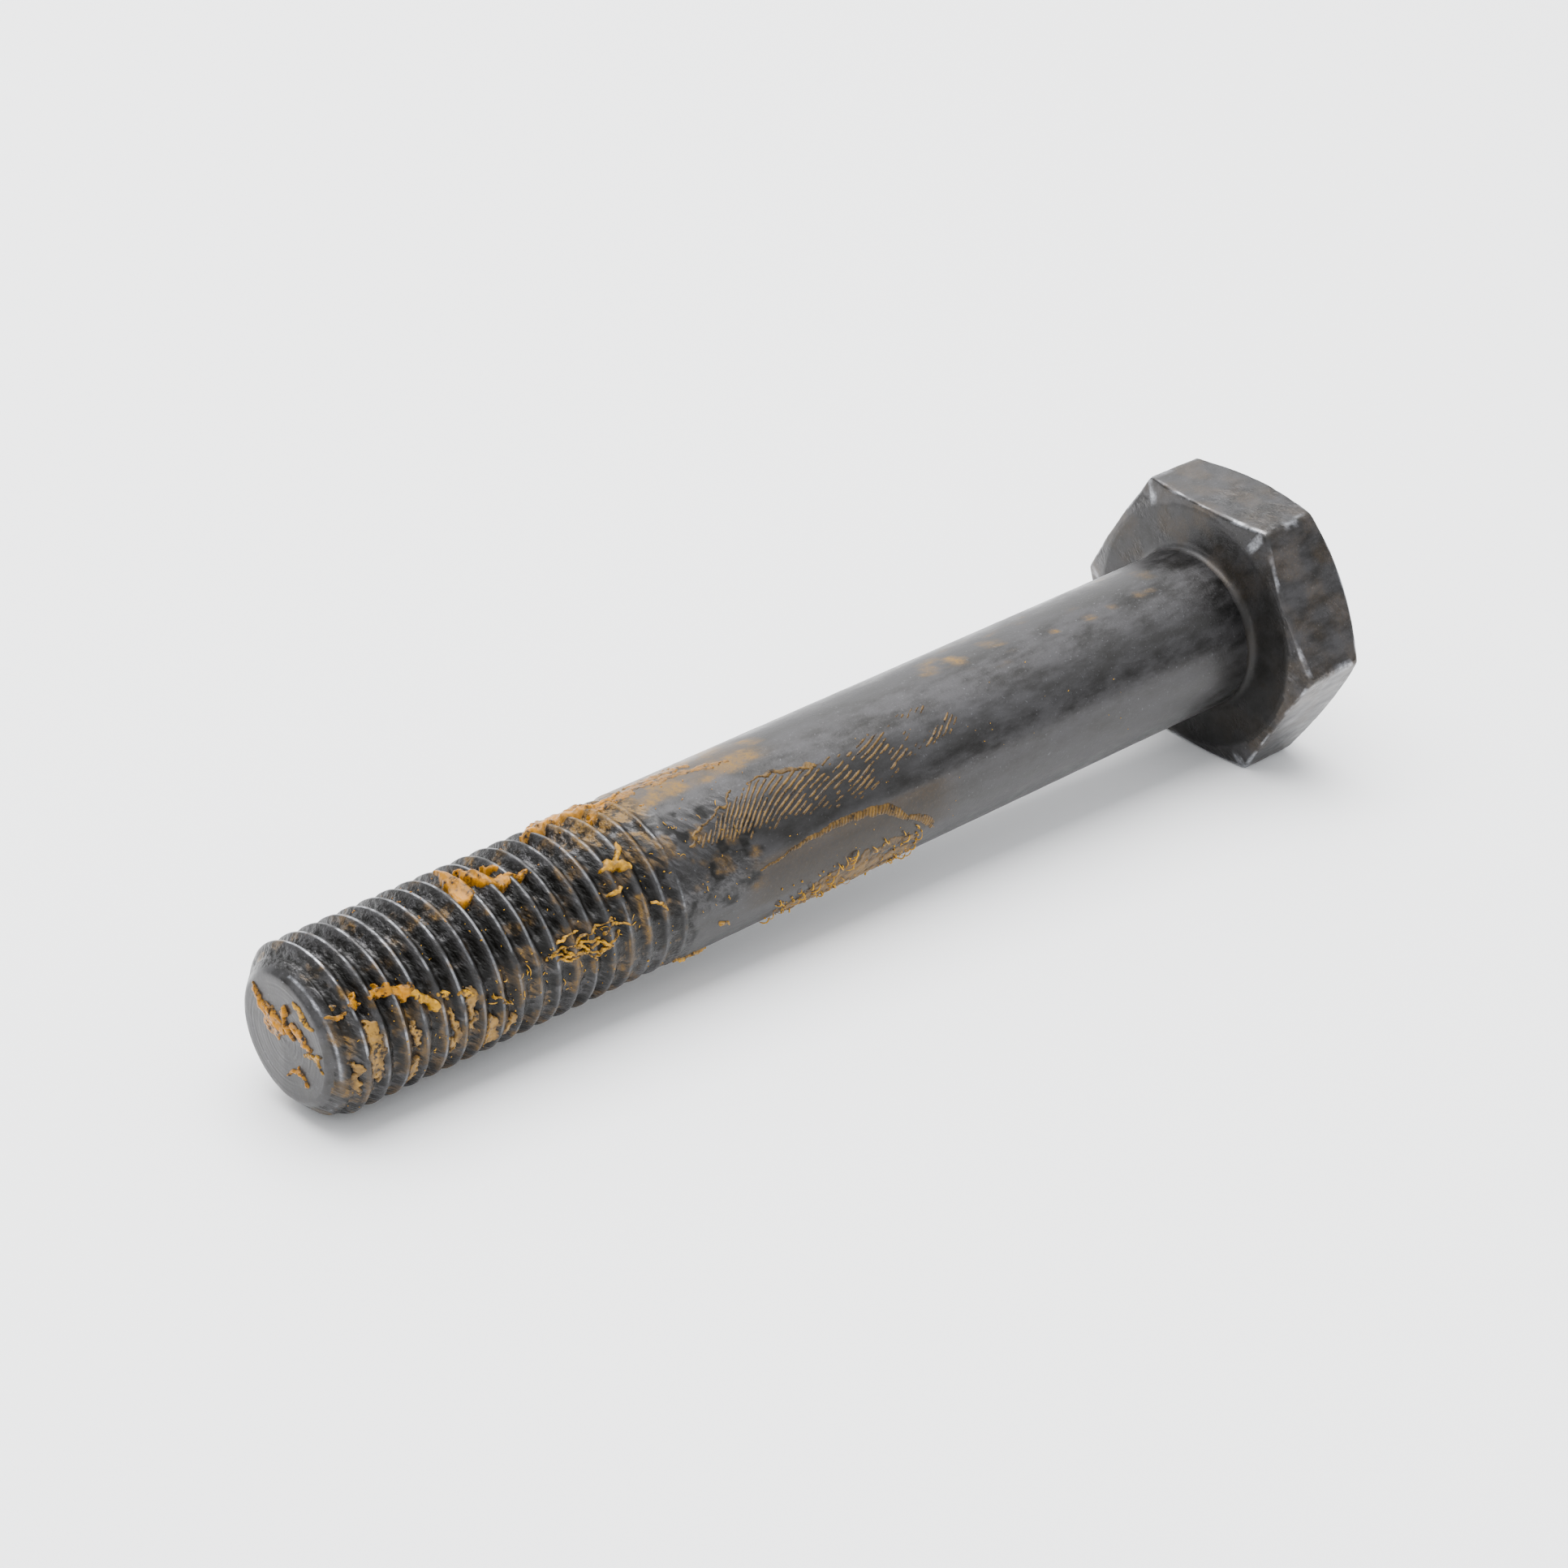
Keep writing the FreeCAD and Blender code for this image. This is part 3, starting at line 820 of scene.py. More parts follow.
    def weathered(self, points: Array, radius: Array) -> Array:
        """Push the surface in and out by forging scale, away from the head's middle.

        Args:
            points: positions in mm, shape (rows, columns, 3).
            radius: the outline's radius in mm, zero at the poles.

        Returns:
            Moved positions.
        """
        away = points - np.array([-self.height / 2, 0.0, 0.0])
        away /= np.linalg.norm(away, axis=-1, keepdims=True)
        amount = self.scale_depth * rough_noise(points, 2.2, 91) + 0.012 * noise(points, 0.5, 95)
        amount = np.where((points[..., 0] > 0.3) | (radius < POLE), 0.0, amount)
        return points + away * amount[..., None]

    def finish(self, points: Array, angle: Array, outline: Array, edge: Array) -> Array:
        """Work out where the head is rubbed bright or stained, and where painted shade darkens its bearing
        face.

        Args:
            points: positions in mm.
            angle: angles in degrees.
            outline: distance along and radius at each vertex.
            edge: 1 on a rounded edge and 0 away from it.

        Returns:
            Wear, film, painted shade and caked grease, each between 0 and 1.
        """
        corner = np.cos(np.radians(angle * 6.0)) * 0.5 + 0.5
        side = smooth_step(self.half_flats - 0.6, self.half_flats - 0.1, outline[..., 1])
        worn = smooth_step(-0.3, 0.7, rough_noise(points, 1.4, 101))
        wear = np.maximum(edge * 0.75, smooth_step(0.985, 1.0, corner) * side * 0.7) * worn
        film = 0.13 * smooth_step(-0.4, 0.8, rough_noise(points, 2.4, 111))
        # Painted shade, carried in the wet layer: the bearing face and fillet are darkened, and darker still
        # on the side that faces down and towards +Y.
        wet_grease_and_shade = 0.8 * smooth_step(-0.6, -0.1, points[..., 0]) * (outline[..., 1] < 12.6)
        upward = np.sin(np.radians(angle)) - np.cos(np.radians(angle))
        wet_grease_and_shade = wet_grease_and_shade * (0.55 + 0.45 * smooth_step(0.5, -0.5, upward))
        cake = 0.5 * smooth_step(-0.2, 0.6, rough_noise(points, 2.6, 115)) * (points[..., 0] < 0.0)
        return np.clip(np.stack([wear, film, wet_grease_and_shade, cake], axis=-1), 0.0, 1.0)


# ---------------------------------------------------------------------------------------------
# The grease pieces


@dataclass(frozen=True)
class Stroke:
    """One pull of grease.

    path holds the places it passes: distance along the bolt in mm, angle in degrees and half its
    width in mm. On the point's face they are the distances to the right and up in mm instead.
    """

    path: tuple[tuple[float, float, float], ...]
    height: float = 0.3


def stroke_cover(first: Array, second: Array, strokes: tuple[Stroke, ...]) -> tuple[Array, Array]:
    """Lay strokes on a flat sheet.

    Over each straight part of a path, the cover is one less the square of the distance over the
    half width, and the height is the stroke's own times the root of that. The highest counts.

    Args:
        first: distances along the bolt in mm.
        second: distances round it in mm.
        strokes: the strokes, with their second numbers in mm too.

    Returns:
        Cover, which is above 0 inside a stroke, and height in mm, each shaped like first.
    """
    cover = np.full(first.shape, -1.0)
    height = np.zeros(first.shape)
    for stroke in strokes:
        for (x0, y0, w0), (x1, y1, w1) in zip(stroke.path, stroke.path[1:]):
            run = np.array([x1 - x0, y1 - y0])
            share = ((first - x0) * run[0] + (second - y0) * run[1]) / max(run @ run, 1e-9)
            share = np.clip(share, 0.0, 1.0)
            gap = np.hypot(first - x0 - share * run[0], second - y0 - share * run[1])
            here = 1.0 - (gap / (w0 + (w1 - w0) * share)) ** 2
            cover = np.maximum(cover, here)
            height = np.maximum(height, stroke.height * np.sqrt(np.clip(here, 0.0, 1.0)))
    return cover, height


def slab(top: Array, under: Array) -> tuple[Array, Array]:
    """Close two grids of the same shape into one solid.

    Args:
        top: the outer surface, shape (rows, columns, 3).
        under: the inner surface, of the same shape.

    Returns:
        Points of shape (n, 3) and faces of shape (m, 4).
    """
    rows, columns = top.shape[:2]
    index = np.arange(rows * columns).reshape(rows, columns)
    ring = np.concatenate([index[0, :-1], index[:-1, -1], index[-1, :0:-1], index[:0:-1, 0]])
    after = np.roll(ring, -1)
    lower = rows * columns
    wall = np.stack([ring, ring + lower, after + lower, after], axis=-1)
    face = quads_between(index[:, :-1], index[:, 1:])
    quads = np.concatenate([face, face[:, ::-1] + lower, wall])
    return np.concatenate([top.reshape(-1, 3), under.reshape(-1, 3)]), quads


def make_deposit(
    name: str, look: Grease, top: Array, under: Array, thick: Array, dirt: Array
) -> bpy.types.Object:
    """Make a solid of grease from its two surfaces.

    Args:
        name: the piece's name.
        look: which grease it is.
        top: the outer surface in mm, shape (rows, columns, 3).
        under: the inner surface, of the same shape.
        thick: how thick it stands, between 0 and 1, shape (rows, columns).
        dirt: how dusty it is, of the same shape.

    Returns:
        The closed solid.
    """
    points, quads = slab(top, under)
    tone = np.stack([thick, np.clip(dirt, 0.0, 1.0), 0.0 * thick], axis=-1).reshape(-1, 3)
    return make_piece(name, points, quads, {BODY: np.concatenate([tone, tone])}, GREASE_MATERIALS[look])


@dataclass
class Smear:
    """Grease on the outside of the bolt, draped over crests and grooves."""

    name: str
    strokes: tuple[Stroke, ...]
    look: Grease = Grease.STRAW
    cell: float = 0.1
    fill: float = 0.6
    fray: float = 0.18
    seed: int = 200
    form: BoltForm = field(default_factory=BoltForm)

    # Outside its strokes the sheet lies this far under the steel, its margin is this wide, its
    # underside this deep, and it is fully bright from this height.
    sink = 0.07
    margin = 0.5
    depth = 0.3
    full_height = 0.25

    def grain(self, along: Array, arc: Array) -> Array:
        """How much of its height the grease keeps at a place, drawn into lines round the bolt."""
        flat = on_sheet(along, arc)
        lines = noise(flat, (0.3, 1.6, 1.0), self.seed + 45)
        return 0.66 + 0.22 * rough_noise(flat, 0.9, self.seed + 40) + 0.22 * lines

    def flat_strokes(self) -> tuple[Stroke, ...]:
        """The strokes with their angles turned into distances round the shank."""
        to_arc = math.radians(1.0) * self.form.shank_radius
        paths = [tuple((x, a * to_arc, w) for x, a, w in stroke.path) for stroke in self.strokes]
        return tuple(Stroke(path, stroke.height) for path, stroke in zip(paths, self.strokes))

    def relief(self, along: Array, arc: Array) -> tuple[Array, Array]:
        """Cover and height of the grease over a sheet of places, with ragged edges.

        The sheet is shifted by noise of two sizes before the strokes are laid, which frays them.
        """
        flat = on_sheet(along, arc)
        shift = [
            self.fray * (noise(flat, 0.9, self.seed + k) + 0.6 * noise(flat, 0.3, self.seed + 10 + k))
            for k in (0, 1)
        ]
        cover, height = stroke_cover(along + shift[0], arc + shift[1], self.flat_strokes())
        return cover, height * self.grain(along, arc)

    def build(self) -> bpy.types.Object:
        """Make the piece.

        Inside the strokes the surface stands on the steel, with the grooves partly filled, and
        outside them it dives under the steel.

        Returns:
            A closed solid that stands for the CAD node of the same grease.
        """
        to_arc = math.radians(1.0) * self.form.shank_radius
        places = np.array([p for s in self.strokes for p in s.path])
        reach = places[:, 2].max() + self.margin
        last = min(places[:, 0].max() + reach, self.form.point - 0.6)
        along_range = (places[:, 0].min() - reach, last)
        arc_range = (places[:, 1].min() * to_arc - reach, places[:, 1].max() * to_arc + reach)
        sides = [np.arange(low, high, self.cell) for low, high in (along_range, arc_range)]
        along, arc = np.meshgrid(*sides, indexing="ij")
        angle = arc / to_arc
        steel = self.form.surface(along, angle)
        cover, height = self.relief(along, arc)
        inside = smooth_step(-0.25, 0.25, cover)
        groove = np.maximum(self.form.crest(along) - steel, 0.0)
        stand = -self.sink * (1.0 - inside) + inside * (self.fill * groove + height)
        top = on_cylinder(along, angle, steel + stand)
        under = on_cylinder(along, angle, steel - self.depth)
        flat = on_sheet(along, arc)
        patchy = np.clip(0.8 + 0.5 * rough_noise(flat, 0.8, self.seed + 55), 0.0, 1.0)
        thick = np.clip(stand / self.full_height, 0.0, 1.0) * patchy
        dirt = smooth_step(0.0, 0.55, rough_noise(flat, 0.8, self.seed + 60)) + 0.5 * (1.0 - thick)
        return make_deposit(self.name, self.look, top, under, thick, dirt)


@dataclass
class FingerPrint(Smear):
    """A film of grease with the ridges that a finger pressed into it.

    Every ridge is the same curve shifted round the bolt. curve holds its slope at distances along
    the bolt: it is steep at the thread's end, eases, and steepens again.
    """

    border: tuple[Stroke, ...] = ()
    ridge_spacing: float = 0.56
    curve: tuple[tuple[float, float], ...] = (
        *((69.0, 1.2), (65.0, 1.0), (61.0, 0.75), (57.0, 0.42)),
        *((52.0, 0.3), (47.0, 0.34), (43.0, 0.5), (36.0, 0.8)),
    )

    def grain(self, along: Array, arc: Array) -> Array:
        """Raised cosine ridges across the curve's shifts, blurred in and out by noise."""
        knots = np.array(self.curve)
        fine = np.linspace(knots[0, 0], knots[-1, 0], 200)
        slope = np.interp(-fine, -knots[:, 0], knots[:, 1])
        climb = np.cumsum(slope) * (fine[0] - fine[1])
        flat = on_sheet(along, arc)
        shift = 0.16 * noise(flat, 3.0, self.seed + 70) + 0.05 * noise(flat, 0.8, self.seed + 71)
        phase = (arc - np.interp(-along, -fine, climb) + shift) / self.ridge_spacing
        ridge = 0.5 + 0.5 * np.cos(2.0 * math.pi * phase)
        broken = rough_noise(flat, 2.6, self.seed + 80) + 0.4 * noise(flat, 0.5, self.seed + 85)
        return ridge**1.4 * smooth_step(-1.0, 0.2, broken)

    def relief(self, along: Array, arc: Array) -> tuple[Array, Array]:
        """The strokes' cover, taken away between the ridges, and the border that has none."""
        cover, height = super().relief(along, arc)
        edge = Smear("border", self.border, fray=0.25, seed=self.seed + 3, form=self.form)
        edge_cover, edge_height = edge.relief(along, arc)
        cover = np.minimum(cover, self.grain(along, arc) * 1.5 - 0.5)
        return np.maximum(cover, edge_cover), np.maximum(height, edge_height)


@dataclass
class CombedEdge(Smear):
    """A bank of grease that a finger pushed up, combed across by its ridges."""

    comb_spacing: float = 0.34

    def grain(self, along: Array, arc: Array) -> Array:
        """Cosine ridges that lie across the bank, on a slant."""
        flat = on_sheet(along, arc)
        phase = (along * 0.9 + arc * 0.35 + 0.15 * noise(flat, 1.2, self.seed + 70)) / self.comb_spacing
        return 0.62 + 0.34 * np.cos(2.0 * math.pi * phase) + 0.15 * rough_noise(flat, 0.8, self.seed + 40)


@dataclass
class PointDab:
    """A lump of grease on the flat of the point, which may hang over its rim."""

    name: str
    strokes: tuple[Stroke, ...]
    look: Grease = Grease.STRAW
    cell: float = 0.07
    fray: float = 0.26
    seed: int = 300
    form: BoltForm = field(default_factory=BoltForm)

    sink = 0.06
    margin = 0.4
    depth = 0.3
    full_height = 0.3

    def build(self) -> bpy.types.Object:
        """Make the piece.

        The strokes are laid on the plane of the face, and stand out along the bolt from the face
        and its chamfer.

        Returns:
            A closed solid that stands for the CAD node of the same grease.
        """
        places = np.array([p for s in self.strokes for p in s.path])
        reach = places[:, 2].max() + self.margin
        spans = [(places[:, k].min() - reach, places[:, k].max() + reach) for k in (0, 1)]
        sides = [np.arange(low, high, self.cell) for low, high in spans]
        right, up = np.meshgrid(*sides, indexing="ij")
        flat = on_sheet(right, up)
        shift = [
            self.fray * (noise(flat, 0.7, self.seed + k) + 0.5 * noise(flat, 0.25, self.seed + 10 + k))
            for k in (0, 1)
        ]
        cover, height = stroke_cover(right + shift[0], up + shift[1], self.strokes)
        inside = smooth_step(-0.25, 0.25, cover)
        height = height * (0.7 + 0.35 * rough_noise(flat, 0.7, self.seed + 40))
        beyond = np.maximum(np.hypot(right, up) - self.form.point_face_radius + 0.2, 0.0)
        stand = -(self.sink + beyond) * (1.0 - inside) + inside * height
        steel = self.form.point_height(np.hypot(right, up))
        top = np.stack([steel + stand, right, up], axis=-1)
        under = np.stack([steel - self.depth, right, up], axis=-1)
        thick = np.clip(stand / self.full_height, 0.0, 1.0)
        dirt = smooth_step(-0.1, 0.5, rough_noise(flat, 0.6, self.seed + 60)) + 0.6 * (1.0 - thick)
        return make_deposit(self.name, self.look, top, under, thick, dirt)


@dataclass
class Fibres:
    """Short threads of grease pulled out of the surface, and crumbs, which are the shortest."""

    name: str
    count: int
    along: tuple[float, float]
    angle: tuple[float, float]
    length: tuple[float, float]
    thickness: tuple[float, float]
    heading: tuple[float, float] = (0.0, 360.0)
    lift: float = 0.15
    look: Grease = Grease.STRAW
    seed: int = 400
    form: BoltForm = field(default_factory=BoltForm)

    steps = 8
    sides = 6
    tone = (0.9, 0.25, 0.0)  # as in make_deposit: nearly as bright as thick grease, a little dusty
    hang = 0.25  # how far below the crests a fibre that bridges a groove may lie, in mm

    def build(self) -> bpy.types.Object:
        """Make the piece.

        Short fibres are many and long ones few. Each is a tube whose radius is its thickness times the
        root of one less the square of the distance from its middle, carried along a bowed path that
        lifts off the steel.

        Returns:
            All the fibres as one object, each closed by a pole at both ends.
        """
        draw = np.random.default_rng(self.seed)
        spans = (self.along, self.angle, (0.0, 1.0), self.thickness, self.heading, (-0.3, 0.3))
        draws = [draw.uniform(*span, self.count)[:, None] for span in spans]
        along, angle, share, thick, heading, bow = draws
        length = self.length[0] + (self.length[1] - self.length[0]) * share**2.5
        run = np.linspace(0.0, 1.0, self.steps)[None, :]
        turn = np.radians(heading)
        forward = length * (run - 0.5)
        aside = bow * length * (4.0 * run * (1.0 - run) - 0.5)
        x = along + forward * np.cos(turn) - aside * np.sin(turn)
        arc = forward * np.sin(turn) + aside * np.cos(turn)
        a = angle + np.degrees(arc / self.form.shank_radius)
        rest = np.maximum(self.form.surface(x, a), self.form.crest(x) - self.hang)
        middle = on_cylinder(x, a, rest + self.lift * np.sin(math.pi * run) * np.minimum(length, 1.0))
        tangent = np.gradient(middle, axis=1)
        tangent /= np.linalg.norm(tangent, axis=-1, keepdims=True)
        outward_way = on_cylinder(0.0 * x, a, np.ones_like(x))
        side = np.cross(tangent, outward_way)
        side /= np.linalg.norm(side, axis=-1, keepdims=True)
        radius = thick * np.sqrt(np.maximum(1.0 - (2.0 * run - 1.0) ** 2, 0.0))
        ring = np.arange(self.sides) * 2.0 * math.pi / self.sides
        normal = np.cross(side, tangent)[:, :, None, :]
        around = np.cos(ring)[:, None] * side[:, :, None, :] + np.sin(ring)[:, None] * normal
        points = middle[:, :, None, :] + radius[:, :, None, None] * around
        index = np.arange(radius.size * self.sides).reshape(self.count, self.steps, self.sides)
        quads = quads_between(index, np.roll(index, -1, axis=2))
        tone = np.broadcast_to(self.tone, (index.size, 3))
        return make_piece(self.name, points.reshape(-1, 3), quads, {BODY: tone}, GREASE_MATERIALS[self.look])


@dataclass
class GreaseCoat:
    """Every deposit of grease on the bolt."""

    form: BoltForm

    def groove(self, crest: int, low: float, high: float, half_width: float, height: float) -> Stroke:
        """A stroke along the groove after the given crest, between two angles."""
        angles = np.linspace(low, high, 7)
        along = self.form.first_crest + self.form.pitch * (crest + 0.5 + angles / 360.0)
        taper = (0.35, 0.8, 1.0, 1.0, 0.95, 0.8, 0.4)
        half_widths = [half_width * 1.15 * share for share in taper]
        return Stroke(tuple(zip(along, angles, half_widths)), height)

    def thread_pieces(self) -> dict[str, Any]:
        """The grease on the thread, by CAD node."""
        lobes = (
            Stroke(((90.1, 113, 0.25), (90.3, 104, 0.4), (90.3, 95, 0.7),
                    (90.5, 87, 0.95), (90.8, 80, 1.05), (91.1, 76, 0.5)), 0.26),
            Stroke(((88.9, 107, 0.2), (88.7, 98, 0.4), (88.3, 89, 0.55),
                    (87.5, 81, 0.65), (86.6, 76, 0.55)), 0.26),
            Stroke(((86.3, 78, 0.2), (85.4, 76, 0.35), (84.5, 76.5, 0.25)), 0.3),
            Stroke(((87.0, 97, 0.1), (86.4, 91, 0.16), (86.2, 87, 0.1)), 0.2),
        )
        lumps = (
            Stroke(((105.9, 41, 0.2), (105.3, 44, 0.4), (104.9, 47, 0.35)), 0.35),
            Stroke(((103.7, 42, 0.35), (102.8, 44, 0.5), (102.0, 43, 0.4)), 0.28),
            Stroke(((101.5, 40, 0.35), (100.7, 38, 0.55), (100.2, 34, 0.4)), 0.38),
            Stroke(((107.6, 43, 0.15), (107.0, 41, 0.25), (106.5, 38, 0.2)), 0.15),
        )
        drips = (
            Stroke(((100.0, 32, 0.25), (99.2, 30, 0.35), (98.6, 26, 0.42),
                    (98.3, 21, 0.45), (98.1, 17.5, 0.3)), 0.36),
            Stroke(((97.6, 27, 0.12), (97.0, 24, 0.2), (96.7, 22, 0.1)), 0.2),
            Stroke(((95.6, 21, 0.2), (95.0, 18, 0.4), (94.5, 15, 0.3)), 0.2),
        )
        web = tuple(
            Stroke(tuple((x, a, w) for x, a in path), 0.2)
            for path, w in (
                (((86.0, 19), (84.8, 21), (83.6, 19), (82.4, 21), (81.0, 23), (79.4, 24)), 0.09),
                (((85.6, 13), (84.4, 14), (83.2, 12), (82.0, 9), (81.2, 7), (79.8, 8)), 0.12),
                (((84.8, 21), (84.5, 17), (83.6, 13), (82.4, 8), (81.6, 3)), 0.11),
                (((83.6, 19), (82.8, 15), (82.2, 11)), 0.12),
                (((82.2, 14), (81.2, 13), (80.4, 10), (79.9, 7)), 0.12),
                (((80.4, 17), (79.4, 20), (78.8, 19), (78.0, 17), (77.6, 16)), 0.12),
                (((79.8, 24), (79.2, 21), (78.9, 18)), 0.10),
                (((86.6, 16), (85.6, 18), (84.8, 16)), 0.10),
                (((84.9, 12), (84.2, 10), (83.4, 9)), 0.14),
                (((83.0, 17), (82.0, 17), (81.0, 15)), 0.11),
                (((80.2, 9), (79.4, 11), (78.8, 14)), 0.09),
                (((81.8, 5), (80.8, 6), (79.9, 8)), 0.09),
                (((78.6, 38.5), (78.0, 38), (77.5, 39)), 0.14),
                (((92.4, 8), (91.8, 5), (91.2, 1), (90.7, -2)), 0.09),
                (((85.2, 24), (84.2, 24.5), (82.8, 25)), 0.07),
            )
        )
        clump = (
            Stroke(((78.2, 54, 0.2), (77.2, 56, 0.5), (76.4, 53, 0.55), (75.8, 50, 0.35)), 0.3),
            Stroke(((76.4, 58, 0.2), (75.7, 62, 0.35), (75.4, 67, 0.15)), 0.22),
            Stroke(((74.6, 22, 0.08), (73.8, 20, 0.14), (73.4, 14, 0.08)), 0.2),
        )
        ridge = (
            Stroke(((81.0, 111, 0.25), (79.6, 114, 0.6), (77.6, 116, 0.75),
                    (75.6, 114, 0.7), (73.6, 112, 0.4)), 0.55),
            Stroke(((79.0, 122, 0.5), (76.5, 124, 0.8), (74.0, 121, 0.6)), 0.4),
            Stroke(((73.2, 109, 0.2), (71.6, 108, 0.35), (70.2, 110, 0.2)), 0.25),
        )
        shapes = (
            ("crest_smear", lobes, Grease.AMBER, 0.08, 0.6, 0.22, 210),
            ("crest_lump", lumps, Grease.AMBER, 0.08, 0.5, 0.3, 220),
            ("drip_lump", drips, Grease.STRAW, 0.08, 0.5, 0.3, 230),
            ("string_clump", web, Grease.STRAW, 0.065, 0.55, 0.2, 240),
            ("runout_clump", clump, Grease.STRAW, 0.08, 0.7, 0.18, 250),
            ("back_ridge", ridge, Grease.AMBER, 0.1, 0.8, 0.18, 260),
        )
        return {name: Smear(name, *sizes) for name, *sizes in shapes}

    def shank_pieces(self) -> dict[str, Any]:
        """The grease on the plain shank, by CAD node."""
        streak = (
            Stroke(((75.6, 95, 0.2), (74.6, 99, 0.4), (73.2, 103, 0.55),
                    (71.4, 104, 0.45), (69.5, 101, 0.3)), 0.14),
            Stroke(((71.0, 106, 0.3), (68.5, 105, 0.6), (66.2, 103, 0.55),
                    (64.0, 99, 0.45), (62.0, 95, 0.3), (60.4, 92, 0.15)), 0.12),
            Stroke(((69.0, 112, 0.4), (66.0, 112, 0.7), (63.5, 107, 0.4)), 0.14),
        )
        drip = (
            Stroke(((71.4, -42, 0.12), (70.2, -46, 0.3), (68.8, -50, 0.55),
                    (67.4, -54, 0.5), (66.6, -58, 0.3)), 0.4),
            Stroke(((69.2, -40, 0.08), (68.8, -46, 0.2), (68.9, -52, 0.3)), 0.3),
            Stroke(((67.6, -15, 0.1), (66.8, -17, 0.2), (66.4, -20, 0.1)), 0.2),
        )
        press = (
            Stroke(((68.5, 45, 0.4), (65.0, 46, 1.3), (61.5, 49, 2.0),
                    (58.0, 50, 2.2), (55.0, 47, 2.0), (51.5, 45, 2.2)), 0.15),
            Stroke(((51.5, 45, 2.2), (48.0, 45, 2.3), (45.5, 48, 1.8), (43.5, 52, 1.0)), 0.14),
            Stroke(((45.5, 46, 0.3), (43.0, 45, 0.6), (40.0, 47, 0.7), (37.5, 49, 0.5)), 0.16),
            Stroke(((44.5, 61, 0.5), (42.0, 64, 0.8), (39.8, 64, 0.5)), 0.1),
        )
        border = (
            Stroke(((69.4, 44, 0.08), (68.4, 49, 0.14), (67.0, 53, 0.16),
                    (65.4, 56, 0.12), (63.6, 61, 0.1), (62.6, 67, 0.16)), 0.2),
            Stroke(((60.5, 66, 0.1), (59.0, 68.5, 0.2), (57.4, 66, 0.26),
                    (55.8, 63.5, 0.26), (54.0, 61, 0.16), (52.8, 58, 0.1)), 0.18),
        )
        bank = (
            Stroke(((63.0, 11, 0.08), (60.5, 14, 0.16), (58.0, 16.5, 0.24),
                    (55.0, 18.5, 0.32), (52.0, 18.6, 0.4)), 0.12),
            Stroke(((52.0, 18.6, 0.4), (49.8, 17, 0.48), (47.8, 13.5, 0.52),
                    (46.7, 8.5, 0.46), (45.9, 3, 0.34), (45.4, 0, 0.2)), 0.16),
            Stroke(((45.2, 1, 0.2), (44.0, -3, 0.4), (43.0, -8, 0.46),
                    (42.3, -13, 0.42), (42.2, -17, 0.3)), 0.16),
        )
        under = (
            Stroke(((57.0, -24, 0.3), (54.0, -20, 0.7), (50.0, -17, 0.6),
                    (46.5, -16, 0.5), (44.0, -20, 0.4)), 0.12),
            Stroke(((60.0, -36, 0.4), (56.0, -33, 1.0), (51.0, -30, 1.2),
                    (46.5, -28, 0.9), (43.5, -30, 0.5)), 0.18),
            Stroke(((58.5, -45, 0.4), (54.0, -44, 0.9), (49.0, -42, 0.9), (45.0, -40, 0.5)), 0.2),
        )
        shapes = (
            (Smear, "top_streak", streak, Grease.AMBER, 0.1, 0.5, 0.35, 270),
            (Smear, "under_drip", drip, Grease.STRAW, 0.08, 0.6, 0.25, 280),
            (FingerPrint, "print_film", press, Grease.DIRTY, 0.085, 0.6, 0.45, 290),
            (CombedEdge, "wipe_edge", bank, Grease.DIRTY, 0.08, 0.6, 0.1, 310),
            (Smear, "under_smear", under, Grease.DIRTY, 0.1, 0.6, 0.5, 320),
        )
        pieces = {name: kind(name, *sizes) for kind, name, *sizes in shapes}
        pieces["print_film"].border = border
        return pieces

    def groove_pieces(self) -> dict[str, Any]:
        """The grease lying in the thread's groove, by CAD node."""
        strips = {
            "groove_strip_front": ((51, -12.0, 27.0, 0.62), (52, -18.0, 8.0, 0.3)),
            "groove_strip_second": ((49, -34.0, -12.0, 0.5), (49, -2.0, 18.0, 0.3)),
            "groove_strip_third": ((46, -10.0, 22.0, 0.4), (47, -16.0, 10.0, 0.35)),
            "groove_strip_fourth": ((45, -33.0, -8.0, 0.6), (44, -30.0, -14.0, 0.35)),
        }
        pieces = {}
        for number, (name, runs) in enumerate(strips.items()):
            strokes = tuple(self.groove(*run, height=0.05) for run in runs)
            seed = 330 + 7 * number
            pieces[name] = Smear(name, strokes, Grease.DIRTY, cell=0.08, fill=0.5, fray=0.4, seed=seed)
        return pieces

